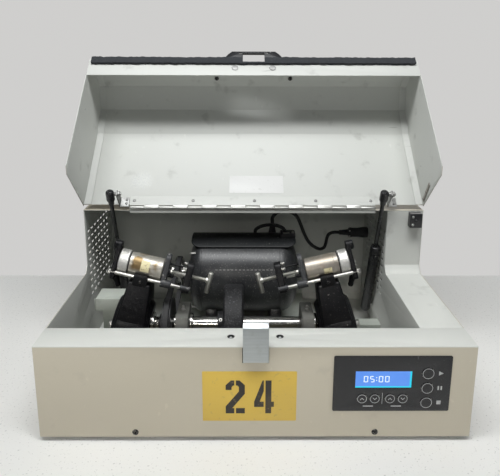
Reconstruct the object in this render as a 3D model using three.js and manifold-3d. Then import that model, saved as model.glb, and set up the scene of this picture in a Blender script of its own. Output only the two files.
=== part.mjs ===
// Twin-clamp mixer mill with its lid open: cabinet, lid, gas struts and the shaking mechanism.
// Millimetres, X to the right, Y to the back, Z up. Heights are measured from the cabinet's underside.
import * as THREE from "three";
import { mergeVertices } from "three/addons/utils/BufferGeometryUtils.js";
import Module from "manifold-3d";

const wasm = await Module();
wasm.setup();

// Fits and sheet stock
const seat = 0.3;
const overrun = 5;
const weld_bite = 0.4;
const sheet = 1.5;
const merge_distance = 0.0001;

// Facet counts
const fine_steps = 26;
const round_steps = 16;
const small_steps = 10;
const knuckle_steps = 8;
const corner_steps = 2;
const hex_steps = 6;
const arc_steps = 5;

// Cabinet
const cabinet_width = 660;
const cabinet_depth = 470;
const half_width = cabinet_width / 2;
const front_height = 152.8;
const rear_height = 279.3;
const front_flange_depth = 54;
const flange_lip = 11;
const step_kink_y = 265;
const step_face_y = 277.4;
const step_kink_rise = 14.2;
const deck_lip = 17.5;
const floor_lip = 16;

// Control bay on the right
const bay_width = 69.6;
const bay_wall_x = half_width - bay_width;

// Ventilation slots
const slot_length = 13;
const slot_height = 4;
const slot_pitch_y = 22.5;
const slot_pitch_z = 14.7;
const vent_start_y = 292;
const vent_start_z = 95;
const vent_columns = Math.floor((cabinet_depth - vent_start_y - slot_length) / slot_pitch_y);
const vent_margin = 30;
const vent_rows = Math.floor((rear_height - vent_start_z - vent_margin) / slot_pitch_z);
const outer_vent_columns = 5;
const outer_vent_rows = 4;

// Rubber mounts: the foot below the floor pan and the isolator above it are one moulding
const mount_left_inset = 189;
const mount_right_inset = 255;
const mount_left_x = mount_left_inset - half_width;
const mount_right_x = half_width - mount_right_inset;
const mount_rear_inset = 40;
const mount_front_y = 30;
const mount_rear_y = cabinet_depth - mount_rear_inset;
const foot_height = 8;
const foot_radius = 14;
const foot_top_radius = 12.5;
const mount_neck_radius = 5;
const isolator_height = 20;
const isolator_radius = 15;
const isolator_waist_radius = 11;

// Control panel
const panel_inset = 37;
const panel_width = 176.5;
const panel_right_x = half_width - panel_inset;
const panel_left_x = panel_right_x - panel_width;
const panel_drop = 14.8;
const panel_height = 92;
const panel_high_z = front_height - panel_drop;
const panel_low_z = panel_high_z - panel_height;
const panel_thickness = 1.6;
const panel_corner = 2.5;
const window_inset = 33;
const window_width = 84.5;
const window_left_x = panel_left_x + window_inset;
const window_right_x = window_left_x + window_width;
const window_drop = 25;
const window_height = 27.5;
const window_high_z = panel_high_z - window_drop;
const window_low_z = window_high_z - window_height;
const window_depth = 0.6;
const key_thickness = 1.9;
const key_stand_out = 1;
const key_bevel = 0.4;
const key_gap = 0.5;
const small_key_radius = 7.9;
const small_key_drop = 70.7;
const small_key_z = panel_high_z - small_key_drop;
const minutes_up_inset = 44.1;
const minutes_down_inset = 63.4;
const seconds_up_inset = 86.4;
const seconds_down_inset = 105.6;
const minutes_up_x = panel_left_x + minutes_up_inset;
const minutes_down_x = panel_left_x + minutes_down_inset;
const seconds_up_x = panel_left_x + seconds_up_inset;
const seconds_down_x = panel_left_x + seconds_down_inset;
const large_key_radius = 9.3;
const large_key_inset = 141.5;
const large_key_x = panel_left_x + large_key_inset;
const large_key_drop = 28.5;
const large_key_pitch = 24.5;
const start_key_z = panel_high_z - large_key_drop;
const pause_key_z = start_key_z - large_key_pitch;
const stop_key_z = pause_key_z - large_key_pitch;

// Hinge line and lid, measured with the lid shut
const hinge_y = step_face_y;
const hinge_rise = 4.5;
const hinge_z = rear_height + hinge_rise;
const open_angle = THREE.MathUtils.degToRad(135);
const lid_rise = 4.7;
const lid_top_z = rear_height + lid_rise;
const lid_front_y = 5;
const lid_gap = 5.7;
const lid_low_z = front_height + lid_gap;
const lid_flange_end_y = 48.6;
const lid_chamfer_drop = 45.5;
const lid_chamfer_low_z = lid_top_z - lid_chamfer_drop;
const lid_chamfer_high_y = 42;
const lid_shoulder_drop = 9.5;
const lid_chamfer_high_z = lid_top_z - lid_shoulder_drop;
const lid_crease_front_y = 90;
const lid_crease_drop = 5;
const lid_crease_front_z = lid_top_z - lid_crease_drop;
const lid_crease_rear_y = 100;
const lid_rear_y = 271;
const lid_side_gap = 3;
const lid_tab_width = 15;
const lid_tab_thickness = 1.2;
const foam_depth = 13.5;
const foam_end_gap = 12;
const latch_notch_half = 22;
const latch_notch_depth = 11.3;
const latch_notch_height = 15.5;

// Lid pull
const pull_reach = 22.7;
const pull_base_half = 62;
const pull_front_half = 52;
const pull_shoulder = 8;
const pull_thickness = 6;
const pull_rise = 1;
const pull_bar = 4.7;
const pull_foot_height = 20;
const pull_foot_thickness = 2;

// Piano hinge
const hinge_inset = 90;
const hinge_start_x = hinge_inset - half_width;
const knuckle_length = 28;
const hinge_room = bay_wall_x - hinge_start_x - knuckle_length;
const knuckle_count = 1 + 2 * Math.floor(hinge_room / (2 * knuckle_length));
const knuckle_radius = 3.6;
const knuckle_bore = 1.9;
const hinge_pin_radius = 1.5;
const leaf_thickness = 1.2;
const base_leaf_height = 16;
const lid_leaf_depth = 20;
const leaf_setback = 4;

// Gas struts
const left_strut_inset = 58;
const right_strut_inset = 13.4;
const left_strut_x = left_strut_inset - half_width;
const right_strut_x = bay_wall_x - right_strut_inset;
const strut_foot_y = 358;
const strut_foot_z = 38;
const stud_along = 10;
const stud_drop = 36;
const strut_radius = 10;
const strut_length = 169;
const strut_bore = 4.4;
const strut_bore_start = 40;
const strut_rod_radius = 4;
const strut_rod_start = 110;
const strut_shoulder = 6;
const socket_radius = 8;
const socket_length = 30;
const socket_nose = 7;
const strut_stud_radius = 4;
const strut_lug_thickness = 3;
const strut_lug_half = 12;
const stud_reach = 4;
const bracket_thickness = 2;
const bracket_width = 18;
const bracket_half_depth = 11;
const bracket_nose = 5;

// Latch on the front panel
const latch_half = 19;
const latch_front_y = -8;
const latch_sheet = 1.6;
const latch_hang = 21.8;
const latch_height = 55;
const latch_low_z = front_height - latch_hang;
const latch_high_z = latch_low_z + latch_height;
const latch_lip_depth = 7.5;
const latch_lip_rise = 6;
const latch_axis_y = 9;
const latch_axis_rise = 9;
const latch_axis_z = latch_low_z + latch_axis_rise;
const latch_pin_radius = 2.5;
const latch_ear_rise = 18;
const latch_neck_rise = 8.5;
const latch_ear_top_z = latch_axis_z + latch_ear_rise;
const latch_ear_neck_z = latch_axis_z + latch_neck_rise;
const latch_ear_throat_y = -2;
const latch_ear_end = 4;
const latch_slot_width = 3.4;
const latch_slot_drop = 15;
const latch_slot_rise = 10.6;
const latch_slot_low_z = latch_axis_z - latch_slot_drop;
const latch_slot_high_z = latch_axis_z + latch_slot_rise;
const latch_lug_x = 10;
const latch_lug_thickness = 2.5;
const latch_lug_reach = 6;

// Holes of the two lid catches in the front flange
const catch_spread = 75;
const catch_y = 29;
const catch_hole_radius = 6;

// Lid switch on the pillar and its actuator on the lid
const switch_inset = 29;
const switch_left_x = half_width - switch_inset;
const switch_width = 23;
const switch_depth = 15;
const switch_height = 28;
const switch_drop = 1;
const switch_nose_radius = 3;
const switch_nose_length = 4;
const actuator_low_y = 258;
const actuator_low_drop = 59;
const actuator_low_z = lid_top_z - actuator_low_drop;
const actuator_high_y = 267;
const actuator_high_drop = 12;
const actuator_high_z = lid_top_z - actuator_high_drop;
const actuator_width = 7;
const actuator_thickness = 1.5;

// Mains inlet with its rocker switch, on the back
const inlet_inset = 35;
const inlet_x = half_width - inlet_inset;
const inlet_z = 62;
const inlet_plate_width = 34;
const inlet_plate_low = 22;
const inlet_plate_high = 62;
const inlet_plate_thickness = 2;
const inlet_body_width = 28;
const inlet_body_low = 16;
const inlet_body_high = 56;
const inlet_body_depth = 20;
const socket_width = 24;
const socket_height = 16;
const socket_depth = 15;
const rocker_rise = 38;
const rocker_width = 14;
const rocker_half_height = 11;
const rocker_axis_depth = 5;
const rocker_face = 6.5;
const rocker_hollow = 1.6;
const rocker_pit_depth = 14;
const rocker_pit_half_height = 12.5;
const rocker_tilt = THREE.MathUtils.degToRad(7);

// Main shaft line, which follows the sides of the mechanism's frame
const frame_left_inset = 158;
const frame_right_inset = 144.4;
const frame_left_x = frame_left_inset - half_width;
const frame_right_x = bay_wall_x - frame_right_inset;
const shaft_setback = 79.5;
const shaft_y = cabinet_depth / 2 - shaft_setback;
const shaft_z = 105;
const shaft_radius = 12.7;
const shaft_end_bolt_radius = 8;
const shaft_end_bolt_length = 7;
const clamp_left_reach = 52;
const clamp_right_reach = 38;
const clamp_left_x = frame_left_x - clamp_left_reach;
const clamp_right_x = frame_right_x + clamp_right_reach;
const shaft_end_reach = 26;
const shaft_left_x = clamp_left_x - shaft_end_reach;
const shaft_right_x = clamp_right_x + shaft_end_reach;
const tilt = THREE.MathUtils.degToRad(14);
const hub_radius = 30;
const hub_outer_end = 21;
const hub_inner_end = 35;
const flywheel_width = 34;
const flywheel_radius = 69.5;
const flywheel_rim = 11;
const flywheel_web_dish = 6;
const flywheel_boss_radius = 26;
const flywheel_collar_length = 12;
const flywheel_collar_radius = 22;
const flywheel_bevel = 1;
const bearing_width = 21;
const bearing_left_inset = 36;
const bearing_right_inset = 33;
const bearing_left_x = frame_left_x + bearing_left_inset;
const bearing_right_x = frame_right_x - bearing_right_inset;
const flywheel_place_share = 31 / 99;
const bearing_room = bearing_right_x - bearing_left_x - bearing_width;
const flywheel_left_x = bearing_left_x + bearing_width + bearing_room * flywheel_place_share;
const bearing_half_depth = 42;
const bearing_top_z = 132;
const bearing_head_half = 30;
const bearing_foot_height = 14;
const bearing_foot_width = 37;

// Belt drive
const belt_inset = 20;
const belt_plane_x = frame_left_x + belt_inset;
const belt_width = 10;
const belt_thickness = 8;
const drive_pulley_radius = 41;
const motor_pulley_radius = 25;
const pulley_flange = 5;
const pulley_flange_width = 2;
const pulley_hub_radius = 18;
const pulley_hub_length = 8;

// Motor
const pulley_centres = 163.5;
const motor_y = shaft_y + pulley_centres;
const motor_z = 133;
const motor_radius = 78;
const motor_left_inset = 43;
const motor_right_inset = 26;
const motor_left_x = frame_left_x + motor_left_inset;
const motor_right_x = frame_right_x - motor_right_inset;
const motor_left_bell = 26;
const motor_right_bell = 36;
const motor_boss_radius = 24;
const motor_wall = 8;
const motor_boss_length = 5;
const motor_shaft_radius = 8;
const motor_shaft_inside = 60;
const motor_shaft_reach = 37;
const motor_shaft_left_x = motor_left_x - motor_shaft_reach;
const motor_foot_width = 22;
const motor_foot_half_depth = 66;
const motor_foot_inset_share = 34 / 219;
const motor_foot_inset = (motor_right_x - motor_left_x) * motor_foot_inset_share;
const motor_foot_plate = 6;
const capacitor_setback = 1;
const capacitor_front_y = motor_y - capacitor_setback;
const capacitor_depth = 62;
const capacitor_top_z = 232;
const capacitor_corner = 14;
const capacitor_end_gap = 5;

// Frame of the mechanism
const frame_front_y = 12;
const frame_rear_inset = 20;
const frame_rear_y = cabinet_depth - frame_rear_inset;
const frame_sheet = 4;
const frame_flange = 12;
const window_front_reach = 87;
const window_rear_reach = 83;
const frame_window_front_y = motor_y - window_front_reach;
const frame_window_rear_y = motor_y + window_rear_reach;
const window_left_gap = 9;
const window_right_gap = 8;
const frame_window_left_x = motor_left_x + motor_foot_inset + motor_foot_width + window_left_gap;
const frame_window_right_x = motor_right_x - motor_foot_inset - motor_foot_width - window_right_gap;
const outrigger_inset = 32;
const outrigger_reach = half_width - outrigger_inset;
const outrigger_setback = 58.5;
const outrigger_front_y = shaft_y + outrigger_setback;
const outrigger_depth = 46;
const outrigger_top_z = 112;
const outrigger_top_length = 54;
const outrigger_right_top_length = 40;
const outrigger_right_inset = 24.4;
const outrigger_right_reach = bay_wall_x - outrigger_right_inset;

// One clamp, in its own frame: u along the vial, v across, w up from the shaft line
const vial_height = 115;
const vial_radius = 28.5;
const vial_length = 76;
const vial_wall = 6.4;
const cap_radius = 29.5;
const cap_length = 20;
const cap_plug = 8;
const vial_bevel = 1;
const arm_radius = 52;
const arm_shoulder_radius = 44;
const arm_outer_end = 24;
const arm_inner_end = 38;
const arm_shoulder = 8;
const column_outer = 14;
const column_inner = 30;
const column_low_w = 18;
const column_low_half = 47;
const column_high_w = 79;
const column_high_half = 30;
const saddle_outer = 7;
const saddle_inner = 18;
const saddle_half = 31;
const saddle_low_w = 76;
const saddle_high_w = 97;
const rod_radius = 4;
const rod_spread = 44;
const rod_height = 89;
const rod_outer_end = 50;
const rod_inner_end = 95;
const rod_nut_radius = 7;
const rod_nut_length = 6;
const plate_thickness = 7.5;
const end_plate_top = 33;
const end_plate_boss = 9;
const end_plate_foot_low_w = 56;
const end_plate_foot_half = 9;
const end_plate_half = 30;
const plate_low_w = 80;
const jaw_top_half = 14;
const jaw_top_w = 143;
const nut_block_start = 81;
const nut_block_thickness = 12;
const nut_block_half = 29;
const nut_block_top_half = 12;
const nut_block_top_w = 138;
const screw_radius = 4;
const jaw_boss_length = 5;
const jaw_boss_radius = 9;
const tee_u = 121;
const tee_length = 36;
const tee_half = 4;

// Motor lead, held at both ends: one spline through these points
const lead_radius = 3.6;
const lead_half_sides = 4;
const lead_steps = 46;
const lead_socket_inset = 37;
const lead_socket_y = cabinet_depth - lead_socket_inset;
const lead_socket_z = 181;
const plug_radius = 12;
const plug_length = 44;
const plug_sleeve_radius = 7;
const plug_sleeve_length = 20;
const gland_inset = 50;
const gland_setback = 30;
const gland_x = motor_right_x - gland_inset;
const gland_y = motor_y + gland_setback;
const lead_route = [
  [gland_x, gland_y, capacitor_top_z + seat],
  [gland_x, gland_y, 241],
  [47, 350, 250],
  [62, 352, 255],
  [79, 355, 252],
  [92, 360, 241],
  [101, 368, 222],
  [111, 380, 196],
  [123, 394, 172],
  [138, 408, 155],
  [153, 419, 146],
  [163, 427, 148],
  [167, 431, 157],
  [169, 432, 168],
  [174, 433, 177],
  [184, 433, 181],
];

// Shape helpers
function outline(points) {
  return new THREE.Shape(points.map(([a, b]) => new THREE.Vector2(a, b)));
}

function solid(geometry) {
  const bare = new THREE.BufferGeometry();
  bare.setAttribute("position", geometry.getAttribute("position"));
  bare.setIndex(geometry.index);
  const merged = mergeVertices(bare, merge_distance);
  const corners = merged.index.array;
  const kept = [];
  for (let i = 0; i < corners.length; i += 3) {
    const [a, b, c] = corners.slice(i, i + 3);
    if (a !== b && b !== c && c !== a) kept.push(a, b, c);
  }
  return new wasm.Manifold(new wasm.Mesh({
    numProp: 3,
    vertProperties: merged.getAttribute("position").array,
    triVerts: new Uint32Array(kept),
  }));
}

function join(...bodies) {
  return bodies.reduce((all, next) => all.add(next));
}

function cut(body, ...tools) {
  return tools.reduce((rest, tool) => rest.subtract(tool), body);
}

function block([x0, x1], [y0, y1], [z0, z1]) {
  const box = new THREE.BoxGeometry(x1 - x0, y1 - y0, z1 - z0);
  return solid(box.translate((x0 + x1) / 2, (y0 + y1) / 2, (z0 + z1) / 2));
}

function extruded(shape, length, steps) {
  return new THREE.ExtrudeGeometry(shape, { depth: length, bevelEnabled: false, curveSegments: steps });
}

// A shape drawn in (y, z), pushed along X
function alongX(shape, x0, x1, steps = corner_steps) {
  const turn = new THREE.Matrix4().makeBasis(
    new THREE.Vector3(0, 1, 0), new THREE.Vector3(0, 0, 1), new THREE.Vector3(1, 0, 0));
  return solid(extruded(shape, x1 - x0, steps).applyMatrix4(turn).translate(x0, 0, 0));
}

// A shape drawn in (x, z), pushed along Y
function alongY(shape, y0, y1, steps = corner_steps) {
  const turn = new THREE.Matrix4().makeBasis(
    new THREE.Vector3(1, 0, 0), new THREE.Vector3(0, 0, 1), new THREE.Vector3(0, -1, 0));
  return solid(extruded(shape, y1 - y0, steps).applyMatrix4(turn).translate(0, y1, 0));
}

// A shape drawn in (x, y), pushed along Z
function alongZ(shape, z0, z1, steps = corner_steps) {
  return solid(extruded(shape, z1 - z0, steps).translate(0, 0, z0));
}

// A profile of (radius, distance) pairs turned about Z, X or Y
function turnedZ(profile, steps = round_steps) {
  const points = profile.map(([radius, along]) => new THREE.Vector2(radius, along));
  return new THREE.LatheGeometry(points, steps).rotateX(Math.PI / 2);
}

function turnedX(profile, y, z, steps = round_steps) {
  return solid(turnedZ(profile, steps).rotateY(Math.PI / 2).translate(0, y, z));
}

function turnedY(profile, x, z, steps = round_steps) {
  return solid(turnedZ(profile, steps).rotateX(-Math.PI / 2).translate(x, 0, z));
}

function rodX(radius, x0, x1, y, z, steps = small_steps) {
  return turnedX([[0, x0], [radius, x0], [radius, x1], [0, x1]], y, z, steps);
}

function rodZ(radius, x, y, z0, z1, steps = small_steps) {
  return solid(turnedZ([[0, z0], [radius, z0], [radius, z1], [0, z1]], steps).translate(x, y, 0));
}

// The line that runs a set distance to the right of a line of points
function offsetLine(points, distance) {
  const line = points.map(([a, b]) => new THREE.Vector2(a, b));
  return line.map((point, i) => {
    const before = line[Math.max(i - 1, 0)];
    const after = line[Math.min(i + 1, line.length - 1)];
    const inward = point.clone().sub(before).normalize();
    const outward = after.clone().sub(point).normalize();
    if (i === 0) inward.copy(outward);
    if (i === line.length - 1) outward.copy(inward);
    const mitre = new THREE.Vector2(inward.y + outward.y, -inward.x - outward.x);
    mitre.multiplyScalar(distance / (1 + inward.dot(outward)));
    return [point.x + mitre.x, point.y + mitre.y];
  });
}

// A bent strip of sheet: the line is its outer face and the sheet lies to the right of it
function strip(points, thickness) {
  return outline([...points, ...offsetLine(points, thickness).reverse()]);
}

function roundedBox(a0, a1, b0, b1, radius) {
  const shape = new THREE.Shape();
  shape.moveTo(a0 + radius, b0);
  shape.lineTo(a1 - radius, b0);
  shape.absarc(a1 - radius, b0 + radius, radius, -Math.PI / 2, 0, false);
  shape.lineTo(a1, b1 - radius);
  shape.absarc(a1 - radius, b1 - radius, radius, 0, Math.PI / 2, false);
  shape.lineTo(a0 + radius, b1);
  shape.absarc(a0 + radius, b1 - radius, radius, Math.PI / 2, Math.PI, false);
  shape.lineTo(a0, b0 + radius);
  shape.absarc(a0 + radius, b0 + radius, radius, Math.PI, 1.5 * Math.PI, false);
  return shape;
}

function piece(group, name, body, color, roughness, metalness) {
  const { vertProperties, triVerts } = body.getMesh();
  const geometry = new THREE.BufferGeometry();
  geometry.setAttribute("position", new THREE.BufferAttribute(vertProperties, 3));
  geometry.setIndex(new THREE.BufferAttribute(triVerts, 1));
  geometry.computeVertexNormals();
  const mesh = new THREE.Mesh(geometry, new THREE.MeshStandardMaterial({ color, roughness, metalness }));
  mesh.name = name;
  group.add(mesh);
}

// Finishes: colour, roughness and metalness
const cream_paint = [0xb8b09e, 0.55, 0];
const inner_paint = [0x9a9c94, 0.6, 0];
const black_rubber = [0x1c1d1f, 0.9, 0];
const black_enamel = [0x1d1f21, 0.4, 0.3];
const black_gloss = [0x141516, 0.2, 0];
const bright_steel = [0xb9bab8, 0.3, 1];
const zinc_steel = [0x9da1a2, 0.45, 1];
const grey_casting = [0x6d706c, 0.6, 0.4];
const aluminium = [0xc9c8c2, 0.4, 1];

const mill = new THREE.Group();
const inside_half = half_width - sheet - seat;

// Floor pan: a tray with upturned front and rear edges, holed for the four mounts
const mount_places = [];
for (const [row, y] of [["front", mount_front_y], ["rear", mount_rear_y]]) {
  mount_places.push([`${row}_left`, mount_left_x, y], [`${row}_right`, mount_right_x, y]);
}
const pan_front_y = sheet + seat;
const pan_rear_y = cabinet_depth - sheet - seat;
const pan_line = [[pan_rear_y, floor_lip], [pan_rear_y, 0], [pan_front_y, 0], [pan_front_y, floor_lip]];
const left_lug_x = left_strut_x + strut_radius + seat + stud_reach;
const strut_lug = join(
  alongX(outline([
    [strut_foot_y - strut_lug_half, sheet - weld_bite],
    [strut_foot_y + strut_lug_half, sheet - weld_bite],
    [strut_foot_y + strut_lug_half / 2, strut_foot_z + strut_lug_half],
    [strut_foot_y - strut_lug_half / 2, strut_foot_z + strut_lug_half],
  ]), left_lug_x, left_lug_x + strut_lug_thickness),
  rodX(strut_stud_radius, left_lug_x - stud_reach, left_lug_x + weld_bite, strut_foot_y, strut_foot_z));
let floor_pan = join(alongX(strip(pan_line, sheet), -inside_half, inside_half), strut_lug);
for (const [, x, y] of mount_places) {
  floor_pan = cut(floor_pan, rodZ(mount_neck_radius + seat, x, y, -overrun, overrun));
}
piece(mill, "floor_pan", floor_pan, ...inner_paint);

// Rubber mounts under and inside the pan
for (const [place, x, y] of mount_places) {
  const waist_z = sheet + seat + isolator_height / 2;
  const top_z = sheet + seat + isolator_height;
  const body = solid(turnedZ([
    [0, -foot_height],
    [foot_top_radius, -foot_height],
    [foot_radius, -foot_height / 2],
    [foot_radius, -seat],
    [mount_neck_radius, -seat],
    [mount_neck_radius, sheet + seat],
    [isolator_radius, sheet + seat],
    [isolator_waist_radius, waist_z],
    [isolator_radius, top_z],
    [0, top_z],
  ], small_steps).translate(x, y, 0));
  piece(mill, `rubber_mount_${place}`, body, ...black_rubber);
}

// Front panel: the face and the top flange that the lid shuts on, bent from one sheet
const front_line = [
  [0, 0],
  [0, front_height],
  [front_flange_depth, front_height],
  [front_flange_depth, front_height - flange_lip],
];
let front_panel = alongX(strip(front_line, sheet), -half_width, half_width);
for (const side of [-1, 1]) {
  const slot_x = side * (latch_half - latch_sheet / 2);
  const lug_x = side * (latch_lug_x + latch_lug_thickness / 2);
  const lug = block(
    [lug_x - latch_lug_thickness / 2, lug_x + latch_lug_thickness / 2],
    [sheet - weld_bite, latch_axis_y + latch_lug_reach],
    [latch_axis_z - latch_lug_reach, latch_axis_z + latch_lug_reach]);
  front_panel = join(front_panel, lug);
  front_panel = cut(
    front_panel,
    block(
      [slot_x - latch_slot_width / 2, slot_x + latch_slot_width / 2],
      [-overrun, overrun], [latch_slot_low_z, latch_slot_high_z]),
    rodZ(catch_hole_radius, (side * catch_spread) / 2, catch_y,
      front_height - overrun, front_height + overrun),
    rodX(latch_pin_radius + seat, lug_x - latch_lug_thickness, lug_x + latch_lug_thickness,
      latch_axis_y, latch_axis_z));
}
piece(mill, "front_panel", front_panel, ...cream_paint);

// Side panels: their top edge drops under the front flange and rises at the step to the rear deck
const wall_front_y = sheet + seat;
const wall_rear_y = cabinet_depth - sheet - seat;
const wall_top_z = rear_height - sheet - seat;
const wall_points = [
  [wall_front_y, 0],
  [wall_rear_y, 0],
  [wall_rear_y, wall_top_z],
  [step_face_y, wall_top_z],
  [step_face_y, front_height + step_kink_rise],
  [step_kink_y, front_height],
  [front_flange_depth + seat, front_height],
  [front_flange_depth + seat, front_height - flange_lip - seat],
  [front_flange_depth - sheet - seat, front_height - flange_lip - seat],
  [front_flange_depth - sheet - seat, front_height - sheet - seat],
  [wall_front_y, front_height - sheet - seat],
];

function ventedWall(points, x0, x1, columns, rows) {
  const slots = [];
  for (let column = 0; column < columns; column++) {
    for (let row = 0; row < rows; row++) {
      const y = vent_start_y + column * slot_pitch_y;
      const z = vent_start_z + row * slot_pitch_z;
      slots.push(block([x0 - overrun, x1 + overrun], [y, y + slot_length], [z, z + slot_height]));
    }
  }
  return cut(alongX(outline(points), x0, x1), ...slots);
}
const left_wall = ventedWall(wall_points, -half_width, -half_width + sheet, vent_columns, vent_rows);
const right_wall = ventedWall(
  wall_points, half_width - sheet, half_width, outer_vent_columns, outer_vent_rows);
piece(mill, "left_side_panel", left_wall, ...cream_paint);
piece(mill, "right_side_panel", right_wall, ...cream_paint);

// Rear cover: deck and back in one bent sheet, with a front lip along the piano hinge
const deck_line = [[step_face_y, rear_height], [cabinet_depth, rear_height], [cabinet_depth, 0]];
const deck_lip_line = [[step_face_y, rear_height - deck_lip], [step_face_y, rear_height]];
const inlet_hole = block(
  [inlet_x - inlet_body_width / 2 - seat, inlet_x + inlet_body_width / 2 + seat],
  [cabinet_depth - overrun, cabinet_depth + overrun],
  [inlet_z - inlet_body_low - seat, inlet_z + inlet_body_high + seat]);
const rear_cover = cut(
  join(
    alongX(strip(deck_line, sheet), -half_width, half_width),
    alongX(strip(deck_lip_line, sheet), hinge_start_x, hinge_start_x + knuckle_count * knuckle_length)),
  inlet_hole);
piece(mill, "rear_cover", rear_cover, ...cream_paint);

// Control bay cover: the strip beside the compartment, the pillar face and the vented partition
const bay_strip_line = [
  [front_flange_depth + seat, front_height],
  [step_kink_y, front_height],
  [step_face_y, front_height + step_kink_rise],
  [step_face_y, wall_top_z],
];
const partition_points = wall_points.map(([y, z]) => [
  THREE.MathUtils.clamp(y, wall_front_y + sheet + seat, wall_rear_y - sheet - seat),
  Math.max(z, sheet + seat),
]);
const bay_stud_start = right_strut_x + strut_radius + seat;
const control_bay_cover = join(
  alongX(strip(bay_strip_line, sheet), bay_wall_x, inside_half),
  ventedWall(partition_points, bay_wall_x, bay_wall_x + sheet, vent_columns, vent_rows),
  rodX(strut_stud_radius, bay_stud_start, bay_wall_x + weld_bite, strut_foot_y, strut_foot_z));
piece(mill, "control_bay_cover", control_bay_cover, ...inner_paint);

// Control panel: a black bezel plate with a sunk display window and round key openings
const keys = [
  ["minutes_up", minutes_up_x, small_key_z, small_key_radius],
  ["minutes_down", minutes_down_x, small_key_z, small_key_radius],
  ["seconds_up", seconds_up_x, small_key_z, small_key_radius],
  ["seconds_down", seconds_down_x, small_key_z, small_key_radius],
  ["start", large_key_x, start_key_z, large_key_radius],
  ["pause", large_key_x, pause_key_z, large_key_radius],
  ["stop", large_key_x, stop_key_z, large_key_radius],
];
const panel_front_y = -seat - panel_thickness;
const panel_shape = roundedBox(panel_left_x, panel_right_x, panel_low_z, panel_high_z, panel_corner);
for (const [, x, z, radius] of keys) {
  const opening = new THREE.Path();
  opening.absarc(x, z, radius + key_gap, 0, 2 * Math.PI, true);
  panel_shape.holes.push(opening);
}
const control_overlay = cut(
  alongY(panel_shape, panel_front_y, -seat, arc_steps),
  block(
    [window_left_x, window_right_x],
    [panel_front_y - overrun, panel_front_y + window_depth],
    [window_low_z, window_high_z]));
piece(mill, "control_overlay", control_overlay, ...black_gloss);

// Keys: low discs with a bevelled edge, each in its opening
const key_front_y = panel_front_y - key_stand_out;
for (const [use, x, z, radius] of keys) {
  const body = turnedY([
    [0, key_front_y],
    [radius - key_bevel, key_front_y],
    [radius, key_front_y + key_bevel],
    [radius, key_front_y + key_thickness],
    [0, key_front_y + key_thickness],
  ], x, z, small_steps);
  piece(mill, `key_${use}`, body, ...black_gloss);
}

// Latch: a sprung steel channel whose ears pass through the panel, with a bent lip on top
const latch_plate_line = [
  [latch_front_y, latch_low_z],
  [latch_front_y, latch_high_z],
  [latch_front_y + latch_lip_depth, latch_high_z + latch_lip_rise],
];
const latch_ear = outline([
  [latch_front_y, latch_low_z],
  [latch_axis_y + latch_ear_end, latch_low_z],
  [latch_axis_y + latch_ear_end, latch_ear_neck_z],
  [latch_ear_throat_y, latch_ear_neck_z],
  [latch_front_y + latch_sheet, latch_ear_top_z],
  [latch_front_y, latch_ear_top_z],
]);
const latch_lever = join(
  alongX(strip(latch_plate_line, latch_sheet), -latch_half, latch_half),
  alongX(latch_ear, -latch_half, -latch_half + latch_sheet),
  alongX(latch_ear, latch_half - latch_sheet, latch_half),
  rodX(latch_pin_radius, -latch_half + weld_bite, latch_half - weld_bite, latch_axis_y, latch_axis_z));
piece(mill, "latch_lever", latch_lever, ...zinc_steel);

// Lid switch on the pillar face
const switch_face_y = step_face_y - seat;
const switch_high_z = wall_top_z - switch_drop;
const switch_right_x = switch_left_x + switch_width;
const switch_low_z = switch_high_z - switch_height;
const lid_switch = join(
  block(
    [switch_left_x, switch_right_x],
    [switch_face_y - switch_depth, switch_face_y],
    [switch_low_z, switch_high_z]),
  turnedY([
    [0, switch_face_y - switch_depth - switch_nose_length],
    [switch_nose_radius, switch_face_y - switch_depth - switch_nose_length],
    [switch_nose_radius, switch_face_y - switch_depth + weld_bite],
    [0, switch_face_y - switch_depth + weld_bite],
  ], (switch_left_x + switch_right_x) / 2, (switch_low_z + switch_high_z) / 2, small_steps));
piece(mill, "lid_switch", lid_switch, ...black_gloss);

// Mains inlet module and its rocker
const rocker_z = inlet_z + rocker_rise;
const inlet_face_y = cabinet_depth + seat + inlet_plate_thickness;
const rocker_y = inlet_face_y - rocker_axis_depth;
const inlet_left_x = inlet_x - inlet_plate_width / 2;
const inlet_right_x = inlet_x + inlet_plate_width / 2;
const inlet_plate = roundedBox(
  inlet_left_x, inlet_right_x, inlet_z - inlet_plate_low, inlet_z + inlet_plate_high, panel_corner);
const socket_floor_y = inlet_face_y - socket_depth;
const mains_inlet = cut(
  join(
    alongY(inlet_plate, cabinet_depth + seat, inlet_face_y),
    block(
      [inlet_x - inlet_body_width / 2, inlet_x + inlet_body_width / 2],
      [cabinet_depth - inlet_body_depth, cabinet_depth + seat + weld_bite],
      [inlet_z - inlet_body_low, inlet_z + inlet_body_high])),
  block(
    [inlet_x - socket_width / 2, inlet_x + socket_width / 2],
    [socket_floor_y, inlet_face_y + overrun],
    [inlet_z - socket_height / 2, inlet_z + socket_height / 2]),
  block(
    [inlet_x - rocker_width / 2 - 2 * seat, inlet_x + rocker_width / 2 + 2 * seat],
    [inlet_face_y - rocker_pit_depth, inlet_face_y + overrun],
    [rocker_z - rocker_pit_half_height, rocker_z + rocker_pit_half_height]));
piece(mill, "mains_inlet", mains_inlet, ...black_gloss);

const rocker = new THREE.Group();
rocker.position.set(inlet_x, rocker_y, rocker_z);
rocker.rotation.x = -rocker_tilt;
mill.add(rocker);
const rocker_shape = outline([
  [-rocker_axis_depth, -rocker_half_height / 2],
  [rocker_face, -rocker_half_height],
  [rocker_face - rocker_hollow, 0],
  [rocker_face, rocker_half_height],
  [-rocker_axis_depth, rocker_half_height / 2],
]);
piece(rocker, "power_rocker", alongX(rocker_shape, -rocker_width / 2, rocker_width / 2), ...black_gloss);

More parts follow.
